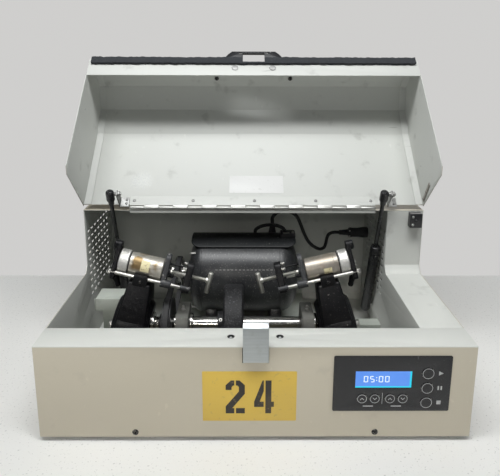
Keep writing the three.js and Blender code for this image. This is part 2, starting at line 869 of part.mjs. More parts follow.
// Lid, built as it lies when shut and then swung open about the hinge line
const lid = new THREE.Group();
lid.position.set(0, hinge_y, hinge_z);
lid.rotation.x = -open_angle;
mill.add(lid);

function onHinge(points) {
  return points.map(([y, z]) => [y - hinge_y, z - hinge_z]);
}
const lid_line = [
  [lid_flange_end_y, lid_low_z],
  [lid_front_y, lid_low_z],
  [lid_front_y, lid_chamfer_low_z],
  [lid_chamfer_high_y, lid_chamfer_high_z],
  [lid_crease_front_y, lid_crease_front_z],
  [lid_crease_rear_y, lid_top_z],
  [lid_rear_y, lid_top_z],
];
const latch_notch = block(
  [-latch_notch_half, latch_notch_half],
  [lid_front_y - overrun - hinge_y, lid_front_y + latch_notch_depth - hinge_y],
  [lid_low_z - overrun - hinge_z, lid_low_z + latch_notch_height - hinge_z]);
const lid_wrap = cut(alongX(strip(onHinge(lid_line), sheet), -half_width, half_width), latch_notch);
piece(lid, "lid_wrap", lid_wrap, ...cream_paint);

// Lid sides: plates with a spot-welded flange that follows the underside of the wrap
const under_wrap = offsetLine(lid_line, sheet + seat);
const side_rear_y = step_face_y - lid_side_gap;
const side_low_z = front_height + lid_side_gap;
const lid_side_points = [
  ...under_wrap.slice(1, under_wrap.length - 1),
  [side_rear_y, lid_top_z - sheet - seat],
  [side_rear_y, front_height + step_kink_rise + lid_side_gap / 2],
  [step_kink_y - lid_side_gap / 2, side_low_z],
  [lid_flange_end_y + seat, side_low_z],
  [lid_flange_end_y + seat, lid_low_z + sheet + seat],
];
const tab_line = under_wrap.slice(1);
for (const [hand, side] of [["left", -1], ["right", 1]]) {
  const [x0, x1] = side < 0 ? [-half_width, sheet - half_width] : [half_width - sheet, half_width];
  const [tab0, tab1] = side < 0 ? [x0, x0 + lid_tab_width] : [x1 - lid_tab_width, x1];
  const body = join(
    alongX(outline(onHinge(lid_side_points)), x0, x1),
    alongX(strip(onHinge(tab_line), lid_tab_thickness), tab0, tab1));
  piece(lid, `lid_${hand}_side`, body, ...cream_paint);
}

// Foam gasket under the lid's front flange, notched for the latch
const foam_low_z = front_height + seat;
const foam_high_z = lid_low_z - seat;
const foam_gasket = cut(
  block(
    [foam_end_gap - half_width, half_width - foam_end_gap],
    [lid_front_y - hinge_y, lid_front_y + foam_depth - hinge_y],
    [foam_low_z - hinge_z, foam_high_z - hinge_z]),
  block(
    [-latch_notch_half, latch_notch_half],
    [lid_front_y - overrun - hinge_y, lid_front_y + latch_notch_depth - hinge_y],
    [foam_low_z - overrun - hinge_z, foam_high_z + overrun - hinge_z]));
piece(lid, "foam_gasket", foam_gasket, ...black_rubber);

// Lid pull: a flat black grip that the latch reaches up through
const pull_root_y = lid_front_y - seat - hinge_y;
const pull_front_y = pull_root_y - pull_reach;
const pull_low_z = lid_low_z + pull_rise - hinge_z;
const pull_shape = outline([
  [-pull_base_half, pull_root_y],
  [-pull_front_half, pull_front_y + pull_shoulder],
  [pull_shoulder - pull_front_half, pull_front_y],
  [pull_front_half - pull_shoulder, pull_front_y],
  [pull_front_half, pull_front_y + pull_shoulder],
  [pull_base_half, pull_root_y],
]);
const pull_foot_z = [pull_low_z, pull_low_z + pull_foot_height];
const pull_foot_y = [pull_root_y - pull_foot_thickness, pull_root_y];
const lid_handle = cut(
  join(
    alongZ(pull_shape, pull_low_z, pull_low_z + pull_thickness),
    block([-pull_base_half, pull_base_half], pull_foot_y, pull_foot_z)),
  block(
    [-latch_notch_half, latch_notch_half],
    [pull_front_y + pull_bar, pull_root_y + overrun],
    [pull_low_z - overrun, pull_low_z + pull_foot_height + overrun]));
piece(lid, "lid_handle", lid_handle, ...black_gloss);

// Piano hinge: the base leaf carries the even knuckles and the pin, the lid leaf the odd ones
const hinge_end_x = hinge_start_x + knuckle_count * knuckle_length;
const base_leaf_y = [step_face_y - seat - leaf_thickness, step_face_y - seat];
const base_leaf_top = hinge_z - leaf_setback;
const lid_leaf_z = lid_top_z - sheet - seat - hinge_z;
let base_leaf = join(
  block([hinge_start_x, hinge_end_x], base_leaf_y, [base_leaf_top - base_leaf_height, base_leaf_top]),
  rodX(hinge_pin_radius, hinge_start_x + seat, hinge_end_x - seat, hinge_y, hinge_z, knuckle_steps));
let lid_leaf = block(
  [hinge_start_x, hinge_end_x],
  [-leaf_setback - lid_leaf_depth, -leaf_setback],
  [lid_leaf_z - leaf_thickness, lid_leaf_z]);
for (let i = 0; i < knuckle_count; i++) {
  const x0 = hinge_start_x + i * knuckle_length + seat / 2;
  const x1 = x0 + knuckle_length - seat;
  if (i % 2 === 0) {
    const web = block([x0, x1], base_leaf_y, [base_leaf_top - leaf_thickness, hinge_z - knuckle_bore]);
    base_leaf = join(base_leaf, web, rodX(knuckle_radius, x0, x1, hinge_y, hinge_z, knuckle_steps));
  } else {
    const web = block(
      [x0, x1], [-leaf_setback - leaf_thickness, -knuckle_bore], [lid_leaf_z - leaf_thickness, lid_leaf_z]);
    lid_leaf = join(lid_leaf, cut(
      join(web, rodX(knuckle_radius, x0, x1, 0, 0, knuckle_steps)),
      rodX(knuckle_bore, x0 - overrun, x1 + overrun, 0, 0, knuckle_steps)));
  }
}
piece(mill, "hinge_leaf_base", base_leaf, ...zinc_steel);
piece(lid, "hinge_leaf_lid", lid_leaf, ...zinc_steel);

// Stud brackets on the lid: an ear across the lid with the stud, and a foot screwed under the wrap
const stud_y = -stud_along;
const stud_z = lid_top_z - stud_drop - hinge_z;
const bracket_top_z = lid_top_z - sheet - seat - hinge_z;
const bracket_ear = outline([
  [stud_y - bracket_half_depth, bracket_top_z],
  [stud_y - bracket_nose, stud_z - bracket_nose],
  [stud_y + bracket_nose, stud_z - bracket_nose],
  [stud_y + bracket_half_depth - bracket_thickness, bracket_top_z],
]);
for (const [hand, strut_x] of [["left", left_strut_x], ["right", right_strut_x]]) {
  const stud_x = strut_x + socket_radius + seat;
  const ear_x = stud_x + stud_reach;
  const body = join(
    alongX(bracket_ear, ear_x, ear_x + bracket_thickness),
    block(
      [ear_x, ear_x + bracket_width],
      [stud_y - bracket_half_depth, stud_y + bracket_half_depth - bracket_thickness],
      [bracket_top_z - bracket_thickness, bracket_top_z]),
    rodX(strut_stud_radius, stud_x, ear_x + weld_bite, stud_y, stud_z));
  piece(lid, `strut_bracket_${hand}`, body, ...bright_steel);
}

// Actuator of the lid switch, a steel strip on the inside of the lid's right side
const actuator_x = half_width - sheet - seat;
const actuator_slope = new THREE.Vector2(actuator_high_y - actuator_low_y, actuator_high_z - actuator_low_z);
const actuator_side = actuator_slope.clone().normalize().multiplyScalar(actuator_width / 2);
const lid_actuator = alongX(outline(onHinge([
  [actuator_low_y + actuator_side.y, actuator_low_z - actuator_side.x],
  [actuator_high_y + actuator_side.y, actuator_high_z - actuator_side.x],
  [actuator_high_y - actuator_side.y, actuator_high_z + actuator_side.x],
  [actuator_low_y - actuator_side.y, actuator_low_z + actuator_side.x],
])), actuator_x - actuator_thickness, actuator_x);
piece(lid, "interlock_actuator", lid_actuator, ...zinc_steel);

// Gas struts: cylinder on its foot stud, rod with a ball socket at the lid's stud
const stud_open = new THREE.Vector2(stud_y, stud_z).rotateAround(new THREE.Vector2(), -open_angle);
const strut_reach_y = hinge_y + stud_open.x - strut_foot_y;
const strut_reach_z = hinge_z + stud_open.y - strut_foot_z;
const strut_angle = Math.atan2(-strut_reach_y, strut_reach_z);
const strut_reach = Math.hypot(strut_reach_y, strut_reach_z);
for (const [hand, x] of [["left", left_strut_x], ["right", right_strut_x]]) {
  const strut = new THREE.Group();
  strut.position.set(x, strut_foot_y, strut_foot_z);
  strut.rotation.x = strut_angle;
  mill.add(strut);
  const cylinder = solid(turnedZ([
    [0, -strut_radius],
    [strut_radius, -strut_shoulder],
    [strut_radius, strut_length - strut_shoulder / 2],
    [strut_radius - strut_shoulder / 3, strut_length],
    [strut_bore, strut_length],
    [strut_bore, strut_bore_start],
    [0, strut_bore_start],
  ]));
  const rod = solid(turnedZ([
    [0, strut_rod_start],
    [strut_rod_radius, strut_rod_start],
    [strut_rod_radius, strut_reach - socket_length + socket_nose],
    [socket_radius - strut_shoulder / 2, strut_reach - socket_length + socket_nose],
    [socket_radius, strut_reach - socket_length / 2],
    [socket_radius, strut_reach + socket_nose / 2],
    [socket_nose, strut_reach + socket_nose],
    [0, strut_reach + socket_nose],
  ], small_steps));
  piece(strut, `strut_cylinder_${hand}`, cylinder, ...black_enamel);
  piece(strut, `strut_rod_${hand}`, rod, ...black_enamel);
}

// Frame of the mechanism: a flanged plate on the isolators, with two raised side brackets
const frame_low_z = sheet + isolator_height + 2 * seat;
const frame_top_z = frame_low_z + frame_sheet;
const frame_line = [
  [frame_rear_y, frame_low_z + frame_flange],
  [frame_rear_y, frame_low_z],
  [frame_front_y, frame_low_z],
  [frame_front_y, frame_low_z + frame_flange],
];
function outrigger(x0, x1, top0, top1) {
  const rear_y = outrigger_front_y + outrigger_depth;
  return join(
    block([x0, x1], [outrigger_front_y, rear_y], [frame_low_z, frame_top_z]),
    block([top0, top1], [rear_y - frame_sheet, rear_y], [frame_low_z, outrigger_top_z]),
    block([top0, top1], [outrigger_front_y, rear_y], [outrigger_top_z - frame_sheet, outrigger_top_z]));
}
const mechanism_frame = join(
  cut(
    alongX(strip(frame_line, frame_sheet), frame_left_x, frame_right_x),
    block(
      [frame_window_left_x, frame_window_right_x],
      [frame_window_front_y, frame_window_rear_y],
      [frame_low_z - overrun, frame_top_z + overrun])),
  outrigger(-outrigger_reach, frame_left_x + frame_sheet, -outrigger_reach,
    outrigger_top_length - outrigger_reach),
  outrigger(frame_right_x - frame_sheet, outrigger_right_reach,
    outrigger_right_reach - outrigger_right_top_length, outrigger_right_reach));
piece(mill, "mechanism_frame", mechanism_frame, ...inner_paint);

// Bearing blocks of the main shaft: tapered castings on a wide foot
const bearing_base_z = frame_top_z + seat;
const bearing_side = outline([
  [shaft_y - bearing_half_depth, bearing_base_z],
  [shaft_y + bearing_half_depth, bearing_base_z],
  [shaft_y + bearing_half_depth, shaft_z - shaft_radius],
  [shaft_y + bearing_head_half, bearing_top_z],
  [shaft_y - bearing_head_half, bearing_top_z],
  [shaft_y - bearing_half_depth, shaft_z - shaft_radius],
]);
for (const [hand, x, foot_x] of [
  ["left", bearing_left_x, bearing_left_x],
  ["right", bearing_right_x, bearing_right_x + bearing_width - bearing_foot_width],
]) {
  const body = cut(
    join(
      alongX(bearing_side, x, x + bearing_width),
      block(
        [foot_x, foot_x + bearing_foot_width],
        [shaft_y - bearing_half_depth, shaft_y + bearing_half_depth],
        [bearing_base_z, bearing_base_z + bearing_foot_height])),
    rodX(shaft_radius + seat, x - overrun, x + bearing_width + overrun, shaft_y, shaft_z, round_steps));
  piece(mill, `bearing_block_${hand}`, body, ...grey_casting);
}

// Main shaft with a slanted hub near each end; the hubs carry the clamps
function hub(x, side) {
  const body = turnedZ([
    [0, -hub_outer_end], [hub_radius, -hub_outer_end], [hub_radius, hub_inner_end], [0, hub_inner_end],
  ], fine_steps).rotateY(Math.PI / 2);
  if (side > 0) body.rotateZ(Math.PI);
  return solid(body.rotateY(-side * tilt).translate(x, shaft_y, shaft_z));
}
const main_shaft = join(
  rodX(shaft_radius, shaft_left_x, shaft_right_x, shaft_y, shaft_z, round_steps),
  rodX(shaft_end_bolt_radius, shaft_left_x - shaft_end_bolt_length, shaft_left_x + weld_bite,
    shaft_y, shaft_z, hex_steps),
  rodX(shaft_end_bolt_radius, shaft_right_x - weld_bite, shaft_right_x + shaft_end_bolt_length,
    shaft_y, shaft_z, hex_steps),
  hub(clamp_left_x, -1),
  hub(clamp_right_x, 1));
piece(mill, "main_shaft", main_shaft, ...bright_steel);

// Flywheel: a cast disc with a dished web, and its collar
const flywheel_right_x = flywheel_left_x + flywheel_width;
const web_left_x = flywheel_left_x + flywheel_web_dish;
const web_right_x = flywheel_right_x - flywheel_web_dish;
const shaft_bore = shaft_radius + seat;
const flywheel = turnedX([
  [shaft_bore, flywheel_left_x - flywheel_collar_length],
  [flywheel_collar_radius, flywheel_left_x - flywheel_collar_length],
  [flywheel_collar_radius, flywheel_left_x],
  [flywheel_boss_radius, flywheel_left_x],
  [flywheel_boss_radius + flywheel_web_dish, web_left_x],
  [flywheel_radius - flywheel_rim - flywheel_web_dish, web_left_x],
  [flywheel_radius - flywheel_rim, flywheel_left_x],
  [flywheel_radius - flywheel_bevel, flywheel_left_x],
  [flywheel_radius, flywheel_left_x + flywheel_bevel],
  [flywheel_radius, flywheel_right_x - flywheel_bevel],
  [flywheel_radius - flywheel_bevel, flywheel_right_x],
  [flywheel_radius - flywheel_rim, flywheel_right_x],
  [flywheel_radius - flywheel_rim - flywheel_web_dish, web_right_x],
  [flywheel_boss_radius + flywheel_web_dish, web_right_x],
  [flywheel_boss_radius, flywheel_right_x],
  [shaft_bore, flywheel_right_x],
  [shaft_bore, flywheel_left_x - flywheel_collar_length],
], shaft_y, shaft_z, fine_steps);
piece(mill, "flywheel", flywheel, ...black_enamel);

// Pulleys: a flat-bottomed groove between two flanges, with hubs beside it
const groove_half = belt_width / 2 + seat;
const flange_end = groove_half + pulley_flange_width;
const belt_seat = 2 * seat;
function pulleyProfile(radius, bore) {
  const rim = radius + pulley_flange;
  const hub_end = flange_end + pulley_hub_length;
  return [
    [bore, -hub_end],
    [pulley_hub_radius, -hub_end],
    [pulley_hub_radius, -flange_end],
    [rim, -flange_end],
    [rim, -groove_half],
    [radius - belt_seat, -groove_half],
    [radius - belt_seat, groove_half],
    [rim, groove_half],
    [rim, flange_end],
    [pulley_hub_radius, flange_end],
    [bore, flange_end],
  ].map(([r, x]) => [r, x + belt_plane_x]);
}
const drive_profile = pulleyProfile(drive_pulley_radius, shaft_bore);
piece(mill, "drive_pulley", turnedX([...drive_profile, drive_profile[0]], shaft_y, shaft_z), ...black_enamel);
const motor_shaft_right_x = motor_left_x + motor_shaft_inside;
const motor_rotor = join(
  turnedX(pulleyProfile(motor_pulley_radius, 0), motor_y, motor_z),
  rodX(motor_shaft_radius, motor_shaft_left_x, motor_shaft_right_x, motor_y, motor_z, round_steps));
piece(mill, "motor_rotor", motor_rotor, ...zinc_steel);

// Belt: the loop round both pulleys, worked out from their centres and radii
const belt_run_y = motor_y - shaft_y;
const belt_run_z = motor_z - shaft_z;
function beltLoop(add, path) {
  const near = drive_pulley_radius + add;
  const far = motor_pulley_radius + add;
  const heading = Math.atan2(belt_run_z, belt_run_y);
  const wrap = Math.acos((near - far) / Math.hypot(belt_run_y, belt_run_z));
  path.absarc(shaft_y, shaft_z, near, heading + wrap, heading - wrap + 2 * Math.PI, false);
  path.absarc(motor_y, motor_z, far, heading - wrap, heading + wrap, false);
  return path;
}
const belt_shape = beltLoop(belt_thickness, new THREE.Shape());
belt_shape.holes.push(beltLoop(0, new THREE.Path()));
const v_belt = alongX(
  belt_shape, belt_plane_x - belt_width / 2, belt_plane_x + belt_width / 2, 2 * arc_steps);
piece(mill, "v_belt", v_belt, ...black_rubber);

// Motor: a hollow round barrel between two domed end bells, on two feet
const barrel_left_x = motor_left_x + motor_left_bell;
const barrel_right_x = motor_right_x - motor_right_bell;
function bell(outer_x, barrel_x) {
  const turns_shares = [0, 0.25, 0.5, 0.75, 1];
  return turns_shares.map((share) => {
    const angle = (share * Math.PI) / 2;
    const reach = motor_radius - motor_boss_radius;
    const depth = (barrel_x - outer_x) * (1 - Math.cos(angle));
    return [motor_boss_radius + reach * Math.sin(angle), outer_x + depth];
  });
}
const shaft_hole = motor_shaft_radius + seat;
const motor_barrel = turnedX([
  [0, motor_right_x - motor_wall],
  [motor_boss_radius, motor_right_x - motor_wall],
  [motor_radius - motor_wall, barrel_right_x],
  [motor_radius - motor_wall, barrel_left_x],
  [motor_boss_radius, motor_left_x + motor_wall],
  [shaft_hole, motor_left_x + motor_wall],
  [shaft_hole, motor_left_x - motor_boss_length],
  [motor_boss_radius, motor_left_x - motor_boss_length],
  ...bell(motor_left_x, barrel_left_x),
  ...bell(motor_right_x, barrel_right_x).reverse(),
  [0, motor_right_x],
], motor_y, motor_z, fine_steps);
const motor_foot = outline([
  [motor_y - motor_foot_half_depth, bearing_base_z],
  [motor_y + motor_foot_half_depth, bearing_base_z],
  [motor_y + motor_foot_half_depth, bearing_base_z + motor_foot_plate],
  [motor_y + motor_radius / 2, motor_z],
  [motor_y - motor_radius / 2, motor_z],
  [motor_y - motor_foot_half_depth, bearing_base_z + motor_foot_plate],
]);
const left_foot_x = motor_left_x + motor_foot_inset;
const right_foot_x = motor_right_x - motor_foot_inset - motor_foot_width;
const motor_body = join(
  motor_barrel,
  cut(
    join(
      alongX(motor_foot, left_foot_x, left_foot_x + motor_foot_width),
      alongX(motor_foot, right_foot_x, right_foot_x + motor_foot_width)),
    rodX(motor_radius - motor_wall / 2, motor_left_x, motor_right_x, motor_y, motor_z, fine_steps)));
piece(mill, "motor_body", motor_body, ...black_enamel);

// Capacitor cover: a long rounded housing along the top of the motor
const capacitor_shape = new THREE.Shape();
const capacitor_rear_y = capacitor_front_y + capacitor_depth;
capacitor_shape.moveTo(capacitor_front_y, motor_z);
capacitor_shape.lineTo(capacitor_rear_y, motor_z);
capacitor_shape.absarc(capacitor_rear_y - capacitor_corner, capacitor_top_z - capacitor_corner,
  capacitor_corner, 0, Math.PI / 2, false);
capacitor_shape.absarc(capacitor_front_y + capacitor_corner, capacitor_top_z - capacitor_corner,
  capacitor_corner, Math.PI / 2, Math.PI, false);
const capacitor_box = cut(
  alongX(capacitor_shape, motor_left_x + capacitor_end_gap, motor_right_x - capacitor_end_gap),
  rodX(motor_radius + seat, motor_left_x - overrun, motor_right_x + overrun, motor_y, motor_z, fine_steps));
piece(mill, "capacitor_box", capacitor_box, ...black_enamel);

// Motor lead and its plug in the partition
const plug_left_x = bay_wall_x - seat - plug_length;
const plug_sleeve_x = plug_left_x - plug_sleeve_length;
const lead_points = [...lead_route, [plug_sleeve_x - seat, lead_socket_y, lead_socket_z]];
const lead_curve = new THREE.CatmullRomCurve3(lead_points.map((point) => new THREE.Vector3(...point)));
const lead_section = new THREE.Shape();
lead_section.absarc(0, 0, lead_radius, 0, 2 * Math.PI, false);
const motor_lead = solid(new THREE.ExtrudeGeometry(lead_section, {
  steps: lead_steps, curveSegments: lead_half_sides, extrudePath: lead_curve,
}));
piece(mill, "motor_lead", motor_lead, ...black_rubber);
const lead_connector = turnedX([
  [0, plug_sleeve_x],
  [plug_sleeve_radius, plug_sleeve_x],
  [plug_sleeve_radius, plug_left_x],
  [plug_radius - panel_corner, plug_left_x],
  [plug_radius, plug_left_x + panel_corner],
  [plug_radius, bay_wall_x - seat],
  [0, bay_wall_x - seat],
], lead_socket_y, lead_socket_z);
piece(mill, "lead_connector", lead_connector, ...black_rubber);

// The clamps: each is a group in the frame of its slanted hub
function vialSection(hand, group) {
  const outer_u = -vial_length / 2;
  const inner_u = vial_length / 2;
  const joint_u = outer_u + cap_length;
  const cavity = vial_radius - vial_wall;
  const body = turnedX([
    [0, inner_u - vial_wall],
    [cavity, inner_u - vial_wall],
    [cavity, joint_u],
    [vial_radius, joint_u],
    [vial_radius, inner_u - vial_bevel],
    [vial_radius - vial_bevel, inner_u],
    [0, inner_u],
  ], 0, vial_height, fine_steps);
  const cap = turnedX([
    [0, outer_u],
    [cap_radius - vial_bevel, outer_u],
    [cap_radius, outer_u + vial_bevel],
    [cap_radius, joint_u - seat],
    [cavity - seat, joint_u - seat],
    [cavity - seat, joint_u + cap_plug],
    [0, joint_u + cap_plug],
  ], 0, vial_height, fine_steps);
  piece(group, `vial_${hand}`, body, ...bright_steel);
  piece(group, `vial_cap_${hand}`, cap, ...aluminium);
}

function armPiece() {
  const shoulder_outer = arm_shoulder - arm_outer_end;
  const shoulder_inner = arm_inner_end - arm_shoulder;
  const bore = hub_radius + seat;
  const ring = turnedX([
    [bore, -arm_outer_end],
    [arm_shoulder_radius, -arm_outer_end],
    [arm_radius, shoulder_outer],
    [arm_radius, shoulder_inner],
    [arm_shoulder_radius, arm_inner_end],
    [bore, arm_inner_end],
    [bore, -arm_outer_end],
  ], 0, 0, fine_steps);
  const column = alongX(outline([
    [-column_low_half, column_low_w],
    [column_low_half, column_low_w],
    [column_high_half, column_high_w],
    [-column_high_half, column_high_w],
  ]), -column_outer, column_inner);
  const saddle = block(
    [-saddle_outer, saddle_inner], [-saddle_half, saddle_half], [saddle_low_w, saddle_high_w]);
  const bored = [rodX(bore, -arm_outer_end - overrun, arm_inner_end + overrun, 0, 0, fine_steps)];
  bored.push(rodX(vial_radius + seat, -vial_length, vial_length, 0, vial_height, fine_steps));
  for (const side of [-1, 1]) {
    bored.push(rodX(rod_radius + seat, -vial_length, vial_length, (side * rod_spread) / 2, rod_height));
  }
  return cut(join(ring, column, saddle), ...bored);
}

function plateOutline(low_half, top_half, top_w) {
  return outline([
    [-low_half, plate_low_w],
    [low_half, plate_low_w],
    [low_half, vial_height - vial_radius / 2],
    [top_half, top_w],
    [-top_half, top_w],
    [-low_half, vial_height - vial_radius / 2],
  ]);
}

function yokePiece() {
  const plate_inner = -vial_length / 2 - seat;
  const plate_outer = plate_inner - plate_thickness;
  const boss_w = vial_height + end_plate_top;
  const parts = [
    alongX(plateOutline(end_plate_half, end_plate_boss, boss_w), plate_outer, plate_inner),
    rodX(end_plate_boss, plate_outer - rod_nut_length, plate_inner, 0, boss_w, round_steps),
    alongX(outline([
      [-end_plate_foot_half, end_plate_foot_low_w],
      [end_plate_foot_half, end_plate_foot_low_w],
      [end_plate_foot_half, plate_low_w + weld_bite],
      [-end_plate_foot_half, plate_low_w + weld_bite],
    ]), plate_outer, plate_inner),
    cut(
      alongX(plateOutline(nut_block_half, nut_block_top_half, nut_block_top_w),
        nut_block_start, nut_block_start + nut_block_thickness),
      rodX(screw_radius + seat, nut_block_start - overrun, nut_block_start + nut_block_thickness + overrun,
        0, vial_height)),
  ];
  for (const side of [-1, 1]) {
    const v = (side * rod_spread) / 2;
    parts.push(rodX(rod_radius, -rod_outer_end, rod_inner_end, v, rod_height));
    parts.push(rodX(
      rod_nut_radius, plate_outer - rod_nut_length, plate_outer + weld_bite, v, rod_height, hex_steps));
  }
  return join(...parts);
}

function jawPiece() {
  const jaw_u = vial_length / 2 + seat;
  const jaw = join(
    alongX(plateOutline(end_plate_half, jaw_top_half, jaw_top_w), jaw_u, jaw_u + plate_thickness),
    rodX(jaw_boss_radius, jaw_u + plate_thickness - weld_bite, jaw_u + plate_thickness + jaw_boss_length,
      0, vial_height));
  const bores = [-1, 1].map((side) => rodX(
    rod_radius + seat, jaw_u - overrun, jaw_u + plate_thickness + overrun,
    (side * rod_spread) / 2, rod_height));
  return cut(jaw, ...bores);
}

function screwPiece() {
  const screw_u = vial_length / 2 + seat + plate_thickness + jaw_boss_length + seat;
  return join(
    rodX(screw_radius, screw_u, tee_u, 0, vial_height),
    block(
      [tee_u - tee_half, tee_u + tee_half],
      [-tee_half, tee_half],
      [vial_height - tee_length / 2, vial_height + tee_length / 2]));
}

for (const [hand, x, side] of [["left", clamp_left_x, -1], ["right", clamp_right_x, 1]]) {
  const clamp = new THREE.Group();
  clamp.position.set(x, shaft_y, shaft_z);
  clamp.rotation.set(0, -side * tilt, side > 0 ? Math.PI : 0);
  mill.add(clamp);
  piece(clamp, `clamp_arm_${hand}`, armPiece(), ...black_enamel);
  piece(clamp, `clamp_yoke_${hand}`, yokePiece(), ...black_enamel);
  piece(clamp, `clamp_jaw_${hand}`, jawPiece(), ...black_enamel);
  piece(clamp, `clamp_screw_${hand}`, screwPiece(), ...bright_steel);
  vialSection(hand, clamp);
}

// The origin is the middle of the footprint, on the surface that the feet stand on
mill.updateMatrixWorld(true);
const extent = new THREE.Box3().setFromObject(mill, true);
const middle = extent.getCenter(new THREE.Vector3());
mill.position.set(-middle.x, -middle.y, -extent.min.z);
mill.updateMatrixWorld(true);

export default mill;
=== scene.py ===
"""A bench mixer mill with its lid open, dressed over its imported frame. Metres, +Z up."""
import math

import bmesh
import bpy
from mathutils import Matrix, Vector, noise


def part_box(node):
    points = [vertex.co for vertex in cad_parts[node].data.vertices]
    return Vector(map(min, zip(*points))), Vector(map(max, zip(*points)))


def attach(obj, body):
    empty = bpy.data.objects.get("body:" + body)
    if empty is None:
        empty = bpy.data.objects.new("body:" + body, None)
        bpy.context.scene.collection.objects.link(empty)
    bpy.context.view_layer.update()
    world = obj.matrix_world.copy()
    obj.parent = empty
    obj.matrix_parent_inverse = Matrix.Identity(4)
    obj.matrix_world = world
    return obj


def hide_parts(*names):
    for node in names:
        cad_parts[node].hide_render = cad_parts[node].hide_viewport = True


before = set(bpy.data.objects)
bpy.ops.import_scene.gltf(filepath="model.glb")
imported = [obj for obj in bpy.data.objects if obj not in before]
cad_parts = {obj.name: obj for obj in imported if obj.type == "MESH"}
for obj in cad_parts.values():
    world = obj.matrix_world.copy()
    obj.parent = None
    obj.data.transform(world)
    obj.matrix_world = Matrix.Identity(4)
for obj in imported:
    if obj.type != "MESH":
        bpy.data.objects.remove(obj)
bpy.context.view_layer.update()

# Camera: it stands in front of the mill, a little left of its middle, and looks down at the open
# lid. Its axis meets the picture above the middle, so the lens is shifted down.
photo_width = 500
focal_pixels = 526.4
axis_row = 170.1
middle_row = 238
camera_data = bpy.data.cameras.new("camera")
camera_data.sensor_width = 36
camera_data.lens = focal_pixels / photo_width * camera_data.sensor_width
camera_data.shift_y = (axis_row - middle_row) / photo_width
camera = bpy.data.objects.new("camera", camera_data)
camera.location = (-0.0140, -0.93705, 0.5809)
camera.rotation_euler = (math.radians(90 - 12.31), math.radians(-0.18), math.radians(-0.34))
bpy.context.scene.collection.objects.link(camera)
bpy.context.scene.camera = camera

# Studio: a long soft lamp overhead, a weak warm one in front, one behind and an even pale world.
# The floor is a pale speckled bench top, and the world behind it is a pale wall.
bpy.context.scene.view_settings.view_transform = "Standard"


def lamp(name, place, aim, size, watts, tint, spread=180):
    data = bpy.data.lights.new(name, "AREA")
    data.shape = "RECTANGLE"
    data.size, data.size_y = size
    data.energy = watts
    data.spread = math.radians(spread)
    data.color = tint
    made = bpy.data.objects.new(name, data)
    made.location = place
    made.rotation_euler = (Vector(aim) - Vector(place)).to_track_quat("-Z", "Y").to_euler()
    bpy.context.scene.collection.objects.link(made)


lamp("overhead_lamp", (-0.12, -0.64, 2.1), (0, 0.1, 0.3), (2.0, 0.5), 46, (0.98, 0.995, 1.0))
lamp("front_lamp", (-0.3, -2.1, 1.0), (0, -0.24, 0.02), (1.2, 0.3), 0.5, (1.0, 0.96, 0.90), 18)
lamp("rear_lamp", (0.4, 2.1, 1.3), (0, 0.2, 0.2), (2.0, 1.0), 14, (1.0, 0.99, 0.97))
world = bpy.data.worlds.new("pale_world")
bpy.context.scene.world = world
world.use_nodes = True
sky = world.node_tree
sky_light = sky.nodes["Background"]
sky_light.inputs["Color"].default_value = (0.93, 0.96, 1.0, 1)
sky_light.inputs["Strength"].default_value = 0.12
sky_shown = sky.nodes.new("ShaderNodeBackground")
sky_shown.inputs["Color"].default_value = (0.625, 0.62, 0.61, 1)
sky_rays = sky.nodes.new("ShaderNodeLightPath")
sky_mix = sky.nodes.new("ShaderNodeMixShader")
sky.links.new(sky_rays.outputs["Is Camera Ray"], sky_mix.inputs[0])
sky.links.new(sky_light.outputs[0], sky_mix.inputs[1])
sky.links.new(sky_shown.outputs[0], sky_mix.inputs[2])
sky.links.new(sky_mix.outputs[0], sky.nodes["World Output"].inputs["Surface"])


class Wire:
    """A socket in a material's node tree, with arithmetic on it."""

    def __init__(self, tree, socket):
        self.tree = tree
        self.socket = socket

    def node(self, kind, settings, sockets, output=0):
        made = self.tree.nodes.new("ShaderNode" + kind)
        for name, value in settings.items():
            setattr(made, name, value)
        for key, value in sockets.items():
            if isinstance(value, Wire):
                self.tree.links.new(value.socket, made.inputs[key])
            else:
                made.inputs[key].default_value = value
        return Wire(self.tree, made.outputs[output])

    def maths(self, operation, first, second):
        return self.node("Math", {"operation": operation}, {0: first, 1: second})

    def __add__(self, other):
        return self.maths("ADD", self, other)

    def __sub__(self, other):
        return self.maths("SUBTRACT", self, other)

    def __rsub__(self, other):
        return self.maths("SUBTRACT", other, self)

    def __mul__(self, other):
        return self.maths("MULTIPLY", self, other)

    __radd__ = __add__
    __rmul__ = __mul__


def noise_of(points, scale, detail=2, stretch=None):
    if stretch:
        points = points.node("VectorMath", {"operation": "MULTIPLY"}, {0: points, 1: stretch})
    return points.node("TexNoise", {}, {"Vector": points, "Scale": scale, "Detail": detail}, "Fac")


def between(value, low, high):
    """0 below low, 1 above high, smooth between."""
    settings = {"interpolation_type": "SMOOTHSTEP"}
    return value.node("MapRange", settings, {"Value": value, "From Min": low, "From Max": high})


def spots(points, scale, detail, low, high, stretch=None):
    """Noise cut to blotches: 0 where it is below low, 1 where it is above high."""
    return between(noise_of(points, scale, detail, stretch), low, high)


def mixed(share, first, second):
    first, second = (c if isinstance(c, Wire) else (*c, 1) for c in (first, second))
    return share.node("Mix", {"data_type": "RGBA"}, {0: share, 6: first, 7: second}, 2)


def finish(name, look):
    """A material whose look, a function of its points, gives the shader's sockets."""
    made = bpy.data.materials.new(name)
    made.use_nodes = True
    tree = made.node_tree
    shader = tree.nodes["Principled BSDF"]
    points = Wire(tree, tree.nodes.new("ShaderNodeTexCoord").outputs["Object"])
    for socket, value in look(points).items():
        if socket == "Bump":
            height, depth = value
            height = height.node("Bump", {}, {"Height": height, "Strength": 1.0, "Distance": depth})
            tree.links.new(height.socket, shader.inputs["Normal"])
        elif isinstance(value, Wire):
            tree.links.new(value.socket, shader.inputs[socket])
        else:
            shader.inputs[socket].default_value = value
    return made


